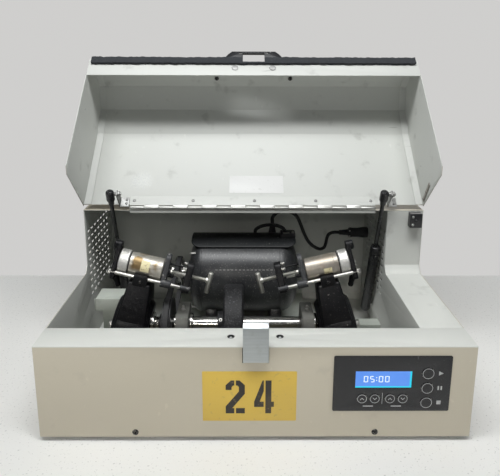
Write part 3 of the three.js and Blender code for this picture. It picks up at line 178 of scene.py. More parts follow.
def bench_look(points):
    speck = spots(points, 260, 3, 0.63, 0.68)
    cloud = noise_of(points, 3)
    stone = mixed(cloud, (0.67, 0.67, 0.65), (0.73, 0.73, 0.71))
    return {
        "Base Color": mixed(speck * 0.5, stone, (0.30, 0.30, 0.29)),
        "Roughness": 0.45 + 0.2 * cloud,
    }


floor_work = bmesh.new()
bmesh.ops.create_grid(floor_work, x_segments=1, y_segments=1, size=1)
bmesh.ops.scale(floor_work, vec=(2.5, 1.5, 1), verts=floor_work.verts)
bmesh.ops.translate(floor_work, vec=(0, -1.11, 0), verts=floor_work.verts)
floor_mesh = bpy.data.meshes.new("bench_top")
floor_work.to_mesh(floor_mesh)
floor_work.free()
floor_mesh.materials.append(finish("bench_stone", bench_look))
floor = bpy.data.objects.new("bench_top", floor_mesh)
bpy.context.scene.collection.objects.link(floor)


# Cabinet sheets: 1.5 mm steel, bent on a brake and powder coated in one paint, drawn warm grey
# outside and off-white inside. These two tints are painted light: the off-white is the paint lit
# strongly from above, the warm grey the same paint in dimmer, warmer light. The coat is a fine
# texture, and it has picked up smudges, dust and small scratches.
# Painted light: one paint in two tints, its shaded look outside and its lit look inside and on
# flanges.
outer_paint_shaded = (0.535, 0.494, 0.400)
inner_paint_lit = (0.60, 0.61, 0.575)
grime = (0.16, 0.155, 0.14)
front_setback = 233.546
foot_height = 8
# The lip that hangs from the deck's front edge is shorter here than on its solid.
deck_lip_z = 261.8
deck_lip_rise = 12.5


def at(x, y, z):
    """A point of the drawing, in millimetres from the front panel and the cabinet's underside."""
    return Vector((x, y - front_setback, z + foot_height)) / 1000


drawn = Matrix.Translation(at(0, 0, 0)) @ Matrix.Scale(0.001, 4)


def ease(work, edge, segments=2, angle=25):
    limit = math.radians(angle)
    sharp = [e for e in work.edges if e.is_manifold and e.calc_face_angle() > limit]
    bmesh.ops.bevel(
        work, geom=sharp, offset=edge, affect="EDGES", segments=segments, profile=0.5,
        material=-1, clamp_overlap=True)


def copy_of(node, edge=0.0004, segments=2):
    """A bmesh of a node's own shape, its flat faces made whole and its sharp edges eased."""
    work = bmesh.new()
    work.from_mesh(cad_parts[node].data)
    bmesh.ops.remove_doubles(work, verts=work.verts, dist=1e-6)
    flat = math.radians(1)
    bmesh.ops.dissolve_limit(work, angle_limit=flat, verts=work.verts, edges=work.edges)
    ease(work, edge, segments)
    return work


def lined(work, inside):
    """Gives the faces that look towards a point inside the second material."""
    work.normal_update()
    for face in work.faces:
        if (inside - face.calc_center_median()).dot(face.normal) > 0:
            face.material_index = 1
    return work


def gathered(*parts):
    """One bmesh of several; a part given as (index, work) takes that material."""
    whole = bmesh.new()
    shared = bpy.data.meshes.new("shared")
    for part in parts:
        index, work = part if isinstance(part, tuple) else (0, part)
        for face in work.faces:
            face.material_index = index
        work.to_mesh(shared)
        work.free()
        whole.from_mesh(shared)
    bpy.data.meshes.remove(shared)
    return whole


def piece(name, work, materials, body, slot, stands_for=(), place=None, angle=30):
    """An object of a bmesh or a list of parts. It rides on a body and stands for nodes."""
    if isinstance(work, list):
        work = gathered(*work)
    mesh = bpy.data.meshes.new(name)
    if place:
        work.transform(place)
    work.to_mesh(mesh)
    work.free()
    mesh.polygons.foreach_set("use_smooth", [True] * len(mesh.polygons))
    mesh.set_sharp_from_angle(angle=math.radians(angle))
    for material in materials if isinstance(materials, list) else [materials]:
        mesh.materials.append(material)
    made = bpy.data.objects.new(name, mesh)
    bpy.context.scene.collection.objects.link(made)
    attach(made, body)
    if stands_for:
        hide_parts(*stands_for)
    return made


def dressed(name, node, edge, material, body, slot, segments=2):
    """A node's own shape, eased and finished."""
    piece(name, copy_of(node, edge, segments), material, body, slot, [node])


def toned(tint, share, lift=0):
    """A tint made darker or lighter."""
    return tuple(share * c + lift for c in tint)


def coat_look(tint, dirt):
    def look(points):
        grain = noise_of(points, 1400, 2)
        cloud = noise_of(points, 5, 3)
        smudge = spots(points, 28, 5, 0.60, 0.78)
        scratch = spots(points, 90, 3, 0.70, 0.73, (1, 0.12, 0.6))
        shade = toned(tint, 0.92)
        colour = mixed(smudge * dirt, mixed(cloud, shade, tint), grime)
        return {
            "Base Color": mixed(scratch * 0.35, colour, toned(tint, 1.15)),
            "Roughness": 0.42 + 0.12 * cloud + 0.1 * smudge,
            "Bump": (grain, 0.00012),
        }
    return look


def fascia_look(points):
    """The outer coat, with the lighter inner tint on the flange at the top as a painted highlight.
    """
    flange_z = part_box("front_panel")[1].z - 0.0012
    sockets = coat_look(outer_paint_shaded, 0.12)(points)
    height = points.node("SeparateXYZ", {}, {0: points}, "Z")
    # Painted highlight: the top-facing flange takes the lit tint of the same paint.
    top = between(height, flange_z - 0.0012, flange_z)
    sockets["Base Color"] = mixed(top, sockets["Base Color"], inner_paint_lit)
    return sockets


outer_coat = finish("outer_powder_coat", coat_look(outer_paint_shaded, 0.14))
inner_coat = finish("inner_powder_coat", coat_look(inner_paint_lit, 0.34))
fascia_coat = finish("fascia_powder_coat", fascia_look)
cabinet_middle = at(0, 235, 120)
for node, coat, slot in [
    ("floor_pan", inner_coat, "grey_paint"),
    ("front_panel", fascia_coat, "cream_paint"),
    ("left_side_panel", outer_coat, "cream_paint"),
    ("right_side_panel", outer_coat, "cream_paint"),
    ("rear_cover", outer_coat, "cream_paint"),
    ("control_bay_cover", inner_coat, "grey_paint"),
]:
    work = copy_of(node)
    if coat is outer_coat:
        lined(work, cabinet_middle)
    if node == "rear_cover":
        for vert in work.verts:
            off_lip = abs(1000 * vert.co.z - foot_height - deck_lip_z)
            if off_lip < 0.6 and 0.04 < vert.co.y < 0.05:
                vert.co.z += deck_lip_rise / 1000
    piece(f"{node}_sheet", work, [coat, inner_coat], "cabinet", slot, [node])


# Rubber mounts: each is a foot under the pan and a waisted isolator above it, moulded in grey
# rubber. They snap through holes of the pan, and the frame of the mechanism lies on them.
def aimed(origin, along):
    """Stands a shape's own Z along a direction at a place of the drawing."""
    z = Vector(along).normalized()
    side = Vector((0, 1, 0)) if abs(z.x) > 0.9 else Vector((1, 0, 0))
    x = (side - z * z.dot(side)).normalized()
    turn = Matrix((x, z.cross(x), z)).transposed().to_4x4()
    return Matrix.Translation(Vector(origin)) @ turn


def turned(profile, origin, along=(0, 0, 1), edge=0.3, steps=64):
    """A profile of (radius, height) pairs turned about its own Z, in millimetres."""
    work = bmesh.new()
    points = [work.verts.new((radius, 0, height)) for radius, height in profile]
    for first, second in zip(points, points[1:]):
        work.edges.new((first, second))
    bmesh.ops.spin(
        work, geom=work.verts[:] + work.edges[:], cent=(0, 0, 0), axis=(0, 0, 1),
        angle=math.tau, steps=steps, use_merge=True)
    bmesh.ops.remove_doubles(work, verts=work.verts, dist=0.0001)
    bmesh.ops.recalc_face_normals(work, faces=work.faces)
    if edge:
        ease(work, edge, angle=20)
    work.transform(aimed(origin, along))
    return work


def rubber_look(tint):
    def look(points):
        cloud = noise_of(points, 40, 4)
        dust = spots(points, 500, 2, 0.62, 0.72)
        pale = toned(tint, 1.8, 0.03)
        return {
            "Base Color": mixed(dust * 0.35 + cloud * 0.2, tint, pale),
            "Roughness": 0.62 + 0.2 * cloud,
            "Bump": (noise_of(points, 900, 2), 0.00008),
        }
    return look


grey_rubber = finish("grey_rubber", rubber_look((0.36, 0.36, 0.35)))
black_rubber = finish("black_rubber", rubber_look((0.022, 0.022, 0.024)))
mount_profile = [
    (0, -8), (12.8, -8), (14, -6.6), (12.5, -0.3), (5, -0.3), (5, 1.8), (15, 1.8), (15, 4.8),
    (12.2, 8), (11, 11.8), (12.2, 15.6), (15, 18.8), (15, 21.8), (0, 21.8),
]
mount_places = {"left": -141, "right": 75}
for end, y in (("front", 30), ("rear", 430)):
    for hand, x in mount_places.items():
        piece(f"{end}_{hand}_isolator", turned(mount_profile, (x, y, 0), edge=0.5), grey_rubber,
              "cabinet", "rubber", [f"rubber_mount_{end}_{hand}"], drawn)


# Panel screws: two black button heads with a hexagon socket hold the front panel to the floor pan.
# The rim of each head is worn bright by the key.
def dark_screw_look(points):
    wear = spots(points, 600, 3, 0.52, 0.66)
    return {
        "Base Color": mixed(wear * 0.7, (0.03, 0.03, 0.032), (0.42, 0.40, 0.36)),
        "Metallic": 0.9,
        "Roughness": 0.3 + 0.25 * wear,
    }


dark_steel = finish("blackened_steel", dark_screw_look)


def button_screw(origin, along, radius, height):
    """A domed head whose socket is sunk in its middle."""
    dome = [(0, 0.3 * height), (0.42 * radius, 0.3 * height), (0.42 * radius, height)]
    dome += [(radius * math.sin(a), height * math.cos(a)) for a in (0.55, 0.8, 1.05, 1.3, 1.5)]
    return turned(dome + [(radius, -0.2), (0, -0.2)], origin, along, 0.12, 32)


panel_screws = [button_screw((side * 183.5, 0, 8), (0, -1, 0), 5, 2.6) for side in (-1, 1)]
piece("panel_screws", panel_screws, dark_steel, "cabinet", "zinc_steel", place=drawn)


# Yellow inventory label: a vinyl sticker with two black stencil figures, a little rubbed and dusty.
# It is stuck to the front panel under the latch.
sides = {
    "xy": lambda a, b, c: (a, b, c),
    "xz": lambda a, b, c: (a, c, b),
    "yz": lambda a, b, c: (c, a, b),
}


def plate(outline, low, high, side="xz", edge=0.3, segments=2):
    """An outline drawn on one of the sides, pushed from low to high across it."""
    work = bmesh.new()
    work.faces.new([work.verts.new(sides[side](a, b, low)) for a, b in outline])
    risen = bmesh.ops.extrude_face_region(work, geom=work.faces[:])
    lift = Vector(sides[side](0, 0, high - low))
    moved = [v for v in risen["geom"] if isinstance(v, bmesh.types.BMVert)]
    bmesh.ops.translate(work, vec=lift, verts=moved)
    bmesh.ops.recalc_face_normals(work, faces=work.faces)
    if edge:
        ease(work, edge, segments)
    return work


def rounded(low_a, high_a, low_b, high_b, corner, steps=5):
    """The outline of a rectangle with round corners."""
    outline = []
    for a, b, start in (
            (high_a - corner, high_b - corner, 0), (low_a + corner, high_b - corner, 90),
            (low_a + corner, low_b + corner, 180), (high_a - corner, low_b + corner, 270)):
        for step in range(steps + 1):
            angle = math.radians(start + 90 * step / steps)
            outline.append((a + corner * math.cos(angle), b + corner * math.sin(angle)))
    return outline


def sticker_look(tint, dust_tint, dirt):
    def look(points):
        cloud = noise_of(points, 30, 4)
        rub = spots(points, 160, 4, 0.60, 0.72)
        edge = spots(points, 12, 2, 0.5, 0.8)
        return {
            "Base Color": mixed(rub * dirt + edge * dirt * 0.4, tint, dust_tint),
            "Roughness": 0.38 + 0.2 * cloud,
            "Bump": (noise_of(points, 220, 2), 0.00004),
        }
    return look


yellow_vinyl = finish("yellow_vinyl", sticker_look((0.62, 0.43, 0.075), (0.36, 0.27, 0.10), 0.35))
stencil_look = sticker_look((0.022, 0.018, 0.016), (0.20, 0.15, 0.06), 0.5)
stencil_black = finish("stencil_black", stencil_look)
figure_two = [
    (0, 40), (9, 40), (9, 45), (11.5, 47.5), (17.5, 47.5), (20, 45), (20, 37.5), (0, 12), (0, 0),
    (29, 0), (29, 9), (10, 9), (29, 33.5), (29, 48), (21, 56), (8, 56), (0, 48),
]
figure_four_left = [
    (0, 20), (0, 11), (14.5, 11), (14.5, 20), (8.5, 20), (14.5, 38), (14.5, 56), (12.5, 56),
]
figure_four_right = [(17, 56), (17, 0), (26, 0), (26, 11), (30, 11), (30, 20), (26, 20), (26, 56)]
inventory_parts = [plate(rounded(-80, 62, 28, 112, 1.5), -0.35, -0.02, edge=0.08)]
for outline, left in ((figure_two, -45), (figure_four_left, -2), (figure_four_right, -2)):
    shifted = [(left + a, 41 + b) for a, b in outline]
    inventory_parts.append((1, plate(shifted, -0.42, -0.3, edge=0)))
for low in (40.5, 87.5):
    inventory_parts.append(plate(rounded(-32, -29.5, low, low + 10, 0.4), -0.46, -0.3, edge=0))
piece("inventory_label", inventory_parts, [yellow_vinyl, stencil_black], "cabinet",
      "black_plastic", place=drawn)


# Control overlay: a black acrylic plate with a sunk display window and seven round keys.
# It is held by adhesive, and its rings, arrows and marks are printed in pale grey.
def gloss_look(tint, rough):
    def look(points):
        cloud = noise_of(points, 22, 4)
        dust = spots(points, 700, 2, 0.66, 0.72)
        scratch = spots(points, 140, 3, 0.71, 0.73, (1, 1, 0.08))
        pale = (0.30, 0.30, 0.29)
        return {
            "Base Color": mixed(dust * 0.25 + scratch * 0.25, tint, pale),
            "Roughness": rough + 0.075 * cloud,
            "Bump": (noise_of(points, 60, 2), 0.00003),
        }
    return look


black_gloss = finish("black_acrylic", gloss_look((0.012, 0.012, 0.014), 0.10))
black_plastic = finish("black_moulding", gloss_look((0.018, 0.018, 0.02), 0.28))
grey_print = finish("grey_print", sticker_look((0.42, 0.43, 0.43), (0.2, 0.2, 0.2), 0.3))
dressed("overlay_plate", "control_overlay", 0.0002, black_gloss, "cabinet", "black_plastic")


def arrow(x, z, way):
    """A chevron that points up, where way is 1, or down."""
    outline = [(-3.2, -1.4), (-2.5, -2.1), (0, 0.5), (2.5, -2.1), (3.2, -1.4), (0, 1.9)]
    return [(x + a, z + way * b) for a, b in outline]


def ring_profile(inner, outer, low, high):
    return [(inner, low), (outer, low), (outer, high), (inner, high), (inner, low)]


keys = [
    ("minutes_up", 160.6, 67.3, 7.9), ("minutes_down", 179.9, 67.3, 7.9),
    ("seconds_up", 202.9, 67.3, 7.9), ("seconds_down", 222.1, 67.3, 7.9),
    ("start", 258, 109.5, 9.3), ("pause", 258, 85, 9.3), ("stop", 258, 60.5, 9.3),
]
for use, x, z, radius in keys:
    cap = [(0, -2.9), (radius - 0.5, -2.9), (radius, -2.4), (radius, -1), (0, -1)]
    ring = ring_profile(radius - 1.5, radius - 0.75, -2.95, -2.8)
    key_line = ((x, 0, z), (0, 1, 0))
    parts = [turned(cap, *key_line, 0.15, 48), (1, turned(ring, *key_line, 0, 48))]
    if "_" in use:
        way = 1 if use.endswith("up") else -1
        parts.append((1, plate(arrow(x, z, way), -2.96, -2.8, edge=0)))
    piece(f"key_{use}_cap", parts, [black_gloss, grey_print], f"key_{use}", "black_plastic",
          [f"key_{use}"], drawn)

marks = [
    [(274, 106), (274, 113), (281, 109.5)],
    rounded(273.6, 275.9, 81.6, 88.4, 0.3), rounded(278.1, 280.4, 81.6, 88.4, 0.3),
    rounded(273.8, 280.2, 57.3, 63.7, 0.4),
    rounded(162.5, 178, 53.6, 55.2, 0.3), rounded(204.8, 220.3, 53.6, 55.2, 0.3),
    rounded(190.9, 191.5, 58, 77, 0.2),
]
printed = [plate(outline, -1.96, -1.85, edge=0) for outline in marks]
piece("overlay_print", printed, grey_print, "cabinet", "black_plastic", place=drawn)


# Display: a backlit module behind the overlay's window, with bright bleed along two edges.
# It shows the time in white figures made of bars.
def display_look(points):
    """Blue light, with a paler bleed along the right and lower edges."""
    across = points.node("SeparateXYZ", {}, {0: points}, "X")
    height = points.node("SeparateXYZ", {}, {0: points}, "Z")
    bleed = between(across, 0.2300, 0.2325) + 1 - between(height, 0.0950, 0.0965)
    cloud = noise_of(points, 60, 2)
    blue = mixed(cloud, (0.085, 0.27, 0.86), (0.125, 0.34, 0.95))
    shown = mixed(bleed.node("Clamp", {}, {0: bleed}), blue, (0.0, 0.72, 0.93))
    return {"Base Color": (0.01, 0.02, 0.05, 1), "Roughness": 0.12, "Emission Color": shown,
            "Emission Strength": 0.92}


def figures_look(points):
    cloud = noise_of(points, 300, 2)
    shown = mixed(cloud, (0.62, 0.78, 0.95), (0.80, 0.92, 1.0))
    return {"Base Color": (0.2, 0.2, 0.2, 1), "Roughness": 0.2, "Emission Color": shown,
            "Emission Strength": 0.95}


def seven_bars(digit, x, z, wide, tall, bar):
    """The outlines of a figure made of up to seven bars, with its lower left corner at x, z."""
    gap = 0.15 * bar
    half = tall / 2
    upright = {
        "upper_left": (0, half), "lower_left": (0, 0), "upper_right": (wide - bar, half),
        "lower_right": (wide - bar, 0),
    }
    level = {"top": tall - bar, "middle": half - bar / 2, "base": 0}
    lit = {
        "0": "top base upper_left lower_left upper_right lower_right",
        "5": "top middle base upper_left lower_right",
    }[digit].split()
    outlines = []
    for name in lit:
        if name in level:
            low = z + level[name]
            bounds = (x + bar + gap, x + wide - bar - gap, low, low + bar)
        else:
            a, b = upright[name]
            bounds = (x + a, x + a + bar, z + b + gap, z + b + half - gap)
        outlines.append(rounded(*bounds, 0.2 * bar, 2))
    return outlines


display_blue = finish("display_blue", display_look)
display_white = finish("display_white", figures_look)
shown_bars = []
for digit, x in (("0", 162), ("5", 171.5), ("0", 184.5), ("0", 194)):
    shown_bars += seven_bars(digit, x, 94.5, 6.6, 10.5, 1.4)
shown_bars += [rounded(180.5, 182, z, z + 1.5, 0.3, 2) for z in (97, 101.5)]
display_parts = [plate(rounded(149.6, 233.9, 85.6, 112.9, 0.2), -1.5, -1.28, edge=0)]
display_parts += [(1, plate(outline, -1.56, -1.45, edge=0)) for outline in shown_bars]
piece("time_display", display_parts, [display_blue, display_white], "cabinet", "black_plastic",
      place=drawn)


# Latch: a sprung lever of brushed steel sheet with a hooked lip, hung on a pin behind the front
# panel. The two catches beside it are spring balls in black cups, pushed into the front flange.
def brushed_look(tint, rough, stretch, stain=(0.30, 0.27, 0.20), stained=0.15):
    def look(points):
        streak = noise_of(points, 260, 3, stretch)
        cloud = noise_of(points, 35, 4)
        spot = spots(points, 70, 5, 0.58, 0.75)
        shade = toned(tint, 0.72)
        return {
            "Base Color": mixed(spot * stained, mixed(streak, shade, tint), stain),
            "Metallic": 1.0,
            "Roughness": rough + 0.18 * cloud + 0.12 * spot,
            "Bump": (streak, 0.00003),
        }
    return look


latch_steel = finish("brushed_latch_steel", brushed_look((0.50, 0.53, 0.54), 0.30, (0.06, 1, 1)))
zinc_plate = finish("dull_zinc", brushed_look((0.52, 0.53, 0.52), 0.40, (1, 0.3, 1)))
dressed("latch_plate", "latch_lever", 0.0003, latch_steel, "latch", "zinc_steel")
catch_places = [(side * 37.5, 29, 0) for side in (-1, 1)]
cup = [(0, 139), (5.7, 139), (5.7, 152.6), (4.1, 152.6), (4.1, 147), (0, 147)]
ball = [(3.5 * math.sin(a), 149 + 3.5 * math.cos(a)) for a in (0, 0.3, 0.6, 0.9, 1.2, 1.5708)]
ball.append((0, 149))
catch_parts = []
for place in catch_places:
    catch_parts.append(turned(cup, place, edge=0.25, steps=40))
    catch_parts.append((1, turned(ball, place, edge=0, steps=32)))
piece("ball_catches", catch_parts, [black_plastic, zinc_plate], "cabinet", "black_plastic",
      place=drawn)


# Lid switch: a black moulded micro switch, screwed to the pillar beside the hinge.
# The steel strip on the lid presses its nose when the lid is shut.
dressed("switch_body", "lid_switch", 0.0006, black_plastic, "cabinet", "black_plastic")
bright_screw = finish("bright_screw", brushed_look((0.66, 0.66, 0.64), 0.25, (1, 1, 1)))
switch_low, switch_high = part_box("lid_switch")
switch_x = 306.2
switch_y = switch_low.y * 1000 + front_setback + 4.2
switch_parts = []
for share in (0.22, 0.78):
    height = (switch_low.z + share * (switch_high.z - switch_low.z)) * 1000 - foot_height
    switch_parts.append(button_screw((switch_x, switch_y, height), (0, -1, 0), 2.6, 1.6))
piece("switch_screws", switch_parts, bright_screw, "cabinet", "zinc_steel", place=drawn)


# Mains inlet and rocker switch: one black moulding in the back, with three flat pins in its socket.
# The rocker above it tips on its own pivot.
dressed("inlet_moulding", "mains_inlet", 0.0005, black_plastic, "cabinet", "black_plastic")
dressed("rocker_moulding", "power_rocker", 0.0006, black_gloss, "rocker", "black_plastic", 3)
inlet_pins = [
    plate(rounded(x - 1, x + 1, z - 2, z + 2, 0.4), 458.5, 469, edge=0.3)
    for x, z in ((295, 65), (288, 60), (302, 60))]
piece("inlet_pins", inlet_pins, bright_screw, "cabinet", "zinc_steel", place=drawn)


# Lid: one wrapped sheet with a plate welded into each side, powder coated like the cabinet.
# Its inside is drawn off-white, a painted lit look of the same paint, scuffed at the left and
# rubbed through to the steel by a strut.
hinge_y = 277.4
hinge_z = 283.8
open_turn = Matrix.Rotation(math.radians(-135), 4, "X")
lid_drawn = (
    Matrix.Translation(at(0, hinge_y, hinge_z)) @ open_turn @ Matrix.Scale(0.001, 4)
    @ Matrix.Translation((0, -hinge_y, -hinge_z)))
lid_back = (lid_drawn.to_3x3() @ Vector((0, 1, 0))).normalized()


def near(points, place, reach, soft):
    """1 within reach of a place, 0 past reach and soft."""
    away = points.node("VectorMath", {"operation": "DISTANCE"}, {0: points, 1: place}, "Value")
    return 1 - between(away, reach, reach + soft)


def lid_look(points):
    # Painted light: the lid's inside takes a lit off-white tint of the cabinet's one paint.
    sockets = coat_look((0.63, 0.64, 0.605), 0.30)(points)
    worn_place = tuple(at(-224.5, hinge_y, hinge_z) - 0.060 * lid_back)
    patch = near(points, worn_place, 0.012, 0.016) * spots(points, 260, 4, 0.36, 0.62) * 0.55
    line = spots(points, 60, 4, 0.70, 0.73, (0.2, 1, 2.5)) * 0.45
    colour = mixed(line, sockets["Base Color"], (0.25, 0.25, 0.23))
    sockets["Base Color"] = mixed(patch, colour, (0.44, 0.45, 0.45))
    sockets["Metallic"] = patch * 0.7
    return sockets


lid_coat = finish("lid_inside_coat", lid_look)
lid_middle = lid_drawn @ Vector((0, 150, 215))
lid_down = (lid_drawn.to_3x3() @ Vector((0, 0, -1))).normalized()
for node in ("lid_wrap", "lid_left_side", "lid_right_side"):
    work = lined(copy_of(node, 0.0005), lid_middle)
    for face in work.faces:
        under = lid_drawn.inverted() @ face.calc_center_median()
        # Painted highlight: the flange's underside faces up and forward with the lid open, so it
        # takes the lit tint.
        if face.normal.dot(lid_down) > 0.7 and under.z < 160:
            face.material_index = 1
    piece(f"{node}_sheet", work, [outer_coat, lid_coat], "lid", "cream_paint", [node])


# Lid fittings: two steel striker discs for the ball catches and the dark nuts of the pull.
# A bare white notice of vinyl is stuck inside.
white_vinyl = finish("white_vinyl", sticker_look((0.70, 0.70, 0.685), (0.40, 0.39, 0.36), 0.25))
striker_steel = finish("striker_steel", brushed_look((0.40, 0.40, 0.39), 0.45, (1, 1, 1)))
striker = [(0, 157), (6, 157), (6.5, 157.5), (6.5, 158.5), (0, 158.5)]
strikers = [turned(striker, place) for place in catch_places]
piece("striker_discs", strikers, striker_steel, "lid", "zinc_steel", place=lid_drawn)
pull_nut = [(0, 0), (4.6, 0), (4.6, 3.2), (4, 3.8), (2.6, 3.8), (2.6, 5.5), (0, 5.5)]
pull_nuts = [turned(pull_nut, (side * 77, 6.5, 212), (0, 1, 0), 0.3, 6) for side in (-1, 1)]
piece("pull_nuts", pull_nuts, dark_steel, "lid", "zinc_steel", place=lid_drawn)
notice = plate(rounded(-48, 59, 205, 245, 1), 282.2, 282.5, "xy", edge=0.06)
piece("lid_notice", notice, white_vinyl, "lid", "cream_paint", place=lid_drawn)


# Foam gasket: a strip of open cell foam, glued under the lid's front flange and cut out for the
# latch. It is soft and fuzzy, a little lumpy along its length.
def foam_look(points):
    cell = noise_of(points, 1500, 2)
    cloud = noise_of(points, 45, 4)
    pale = spots(points, 400, 3, 0.58, 0.72)
    return {
        "Base Color": mixed(pale * 0.45 + cloud * 0.2, (0.030, 0.033, 0.038), (0.085, 0.088, 0.09)),
        "Roughness": 0.96,
        "Bump": (cell + 0.6 * cloud, 0.0011),
    }


def block(work, size, middle):
    """Adds a box of that size about its middle."""
    verts = bmesh.ops.create_cube(work, size=1)["verts"]
    bmesh.ops.scale(work, vec=size, verts=verts)
    bmesh.ops.translate(work, vec=middle, verts=verts)


foam_y = 12
foam_z = 155.6
foam_height = 5
foam_work = bmesh.new()
for left, right in ((-325, -22), (22, 325)):
    block(foam_work, (right - left, 17, foam_height), ((left + right) / 2, foam_y, foam_z))
block(foam_work, (43.9, 4, foam_height), (0, 18.5, foam_z))
long_edges = [e for e in foam_work.edges if abs((e.verts[0].co - e.verts[1].co).x) > 40]
bmesh.ops.subdivide_edges(foam_work, edges=long_edges, cuts=90, use_grid_fill=True)
ease(foam_work, 0.9, 3)
for vert in foam_work.verts:
    lump = noise.noise(Vector((vert.co.x / 7, vert.co.y / 6, vert.co.z / 4)))
    inward = Vector((0, foam_y - vert.co.y, foam_z - vert.co.z))
    vert.co += inward * (0.05 + 0.20 * lump)
foam_black = finish("charcoal_foam", foam_look)
foam = piece("foam_strip", foam_work, foam_black, "lid", "foam", ["foam_gasket"], lid_drawn, 60)


# Lid pull: a black moulded grip screwed to the front of the lid, with a slot for the latch's lip.
# Its edge is scratched white where hands and tools have knocked it.
def pull_look(points):
    sockets = gloss_look((0.016, 0.016, 0.018), 0.30)(points)
    knock = spots(points, 70, 4, 0.64, 0.68) * spots(points, 500, 2, 0.4, 0.6)
    sockets["Base Color"] = mixed(knock * 0.8, sockets["Base Color"], (0.55, 0.55, 0.53))
    return sockets


knocked_plastic = finish("knocked_black_moulding", pull_look)
dressed("pull_grip", "lid_handle", 0.0007, knocked_plastic, "lid", "black_plastic", 3)
grip_pins = []
for side in (-1, 1):
    grip_pins.append(button_screw((side * 27, -13, 159.6), (0, 0, -1), 2.6, 0.9))
    grip_pins.append(button_screw((side * 50, 2.6, 172), (0, -1, 0), 3.4, 1.6))
piece("pull_screws", grip_pins, dark_steel, "lid", "zinc_steel", place=lid_drawn)


# Piano hinge: two rolled steel leaves on one pin, one knuckle each in turn.
# Both leaves are painted over with their sheets, and dome screws hold the lid's leaf.
def bar_profile(radius, low, high):
    return [(0, low), (radius, low), (radius, high), (0, high)]


axis_x = (1, 0, 0)
hinge_left = -240
knuckle = 28
knuckle_count = 17
hinge_right = hinge_left + knuckle_count * knuckle
hinge_line = ((0, hinge_y, hinge_z), axis_x)
pin_radius = 1.5
knuckle_radius = 3.6
leaf_low, leaf_high = 281, 282.2
leaf_y = hinge_y - 0.3
leaf_back = leaf_y - 1.2
hinge_zinc = finish("hinge_zinc", brushed_look((0.60, 0.60, 0.57), 0.36, (0.1, 1, 1)))
base_leaf = rounded(leaf_back, leaf_y, 273.8, 279.8, 0.2, 1)
lid_leaf = rounded(hinge_y - 24, hinge_y - 4, leaf_low, leaf_high, 0.2, 1)
base_parts = [
    (1, plate(base_leaf, hinge_left, hinge_right, "yz", 0.2)),
    turned(bar_profile(pin_radius, hinge_left + 0.3, hinge_right - 0.3), *hinge_line, 0.3, 24),
]
lid_parts = [(1, plate(lid_leaf, hinge_left, hinge_right, "yz", 0.2))]
for number in range(knuckle_count):
    if number % 2:
        parts, bore = lid_parts, 1.9
        web = rounded(hinge_y - 5.2, hinge_y - 1.9, leaf_low, leaf_high, 0.2, 1)
    else:
        parts, bore = base_parts, pin_radius
        web = rounded(leaf_back, leaf_y, 278.6, 281.9, 0.2, 1)
    start = hinge_left + number * knuckle + 0.15
    end = start + knuckle - 0.3
    parts.append(turned(ring_profile(bore, knuckle_radius, start, end), *hinge_line, 0.25, 32))
    parts.append(plate(web, start, end, "yz", 0.15))
for x in (-232, -118, 1.4, 121, 228):
    lid_parts.append((2, button_screw((x, 263, leaf_low), (0, 0, -1), 3.2, 1.2)))
piece("hinge_base_leaf", base_parts, [hinge_zinc, inner_coat], "cabinet", "zinc_steel",
      ["hinge_leaf_base"], drawn)
piece("hinge_lid_leaf", lid_parts, [hinge_zinc, lid_coat, striker_steel], "lid",
      "zinc_steel", ["hinge_leaf_lid"], lid_drawn)


# Stud brackets: bent steel ears screwed under the lid, each with the stud of a gas strut.
# The stud's nut shows on the outer face of the ear.
bracket_steel = finish("bracket_steel", brushed_look((0.34, 0.34, 0.33), 0.42, (1, 1, 0.2)))
stud_nut = [(0, 0), (6, 0), (6, 4.2), (5.3, 4.9), (3.2, 4.9), (3.2, 6.4), (2.8, 6.9), (0, 6.9)]
strut_places = (("left", -272), ("right", 247))
for hand, x in strut_places:
    ear_x = x + 14.3
    stud_line = ((ear_x, 267.4, 248), axis_x)
    washer = turned(bar_profile(7, 0, 1), *stud_line, 0.2, 40)
    fixings = [turned(stud_nut, *stud_line, 0.25, 6), washer]
    for y in (262, 270):
        fixings.append(button_screw((ear_x + 11, y, 280.2), (0, 0, -1), 2.6, 1.4))
    for fixing in fixings:
        fixing.transform(lid_drawn)
    ear = copy_of(f"strut_bracket_{hand}", 0.0004)
    piece(f"{hand}_stud_bracket", [ear, *fixings], bracket_steel, "lid", "bright_steel",
          [f"strut_bracket_{hand}"])


# Actuator: a steel strip riveted to the inside of the lid's right side, with a cross pin near its
# end. It reaches down to the lid switch when the lid shuts.
rusty_look = brushed_look((0.40, 0.38, 0.35), 0.45, (1, 1, 1), (0.16, 0.12, 0.08), 0.5)
rivet_steel = finish("old_zinc", rusty_look)
rivets = gathered(*[
    button_screw((326.7, y, z), (-1, 0, 0), 2.6, 1.4) for y, z in ((265.5, 268), (262.3, 248))])
rivets.transform(lid_drawn)
piece("actuator_strip", [copy_of("interlock_actuator", 0.0003), rivets], rivet_steel, "lid",
      "zinc_steel", ["interlock_actuator"])


# Gas struts: a black enamelled cylinder on its foot stud, a rod, and a moulded ball socket at the
# top. The enamel is glossy, with a seam ring near the gland.
def enamel_look(tint, rough, dust=0.5, shine=0.5):
    def look(points):
        speck = spots(points, 480, 3, 0.64, 0.69)
        chip = spots(points, 150, 4, 0.69, 0.72)
        cloud = noise_of(points, 12, 4)
        film = between(cloud, 0.42, 0.75) * 0.35
        dusty = mixed(film * dust, tint, (0.12, 0.12, 0.115))
        return {
            "Base Color": mixed(speck * dust + chip * 0.3, dusty, (0.34, 0.33, 0.30)),
            "Roughness": rough + 0.22 * cloud,
            "Specular IOR Level": shine,
            "Bump": (noise_of(points, 500, 2), 0.00005),
        }
    return look


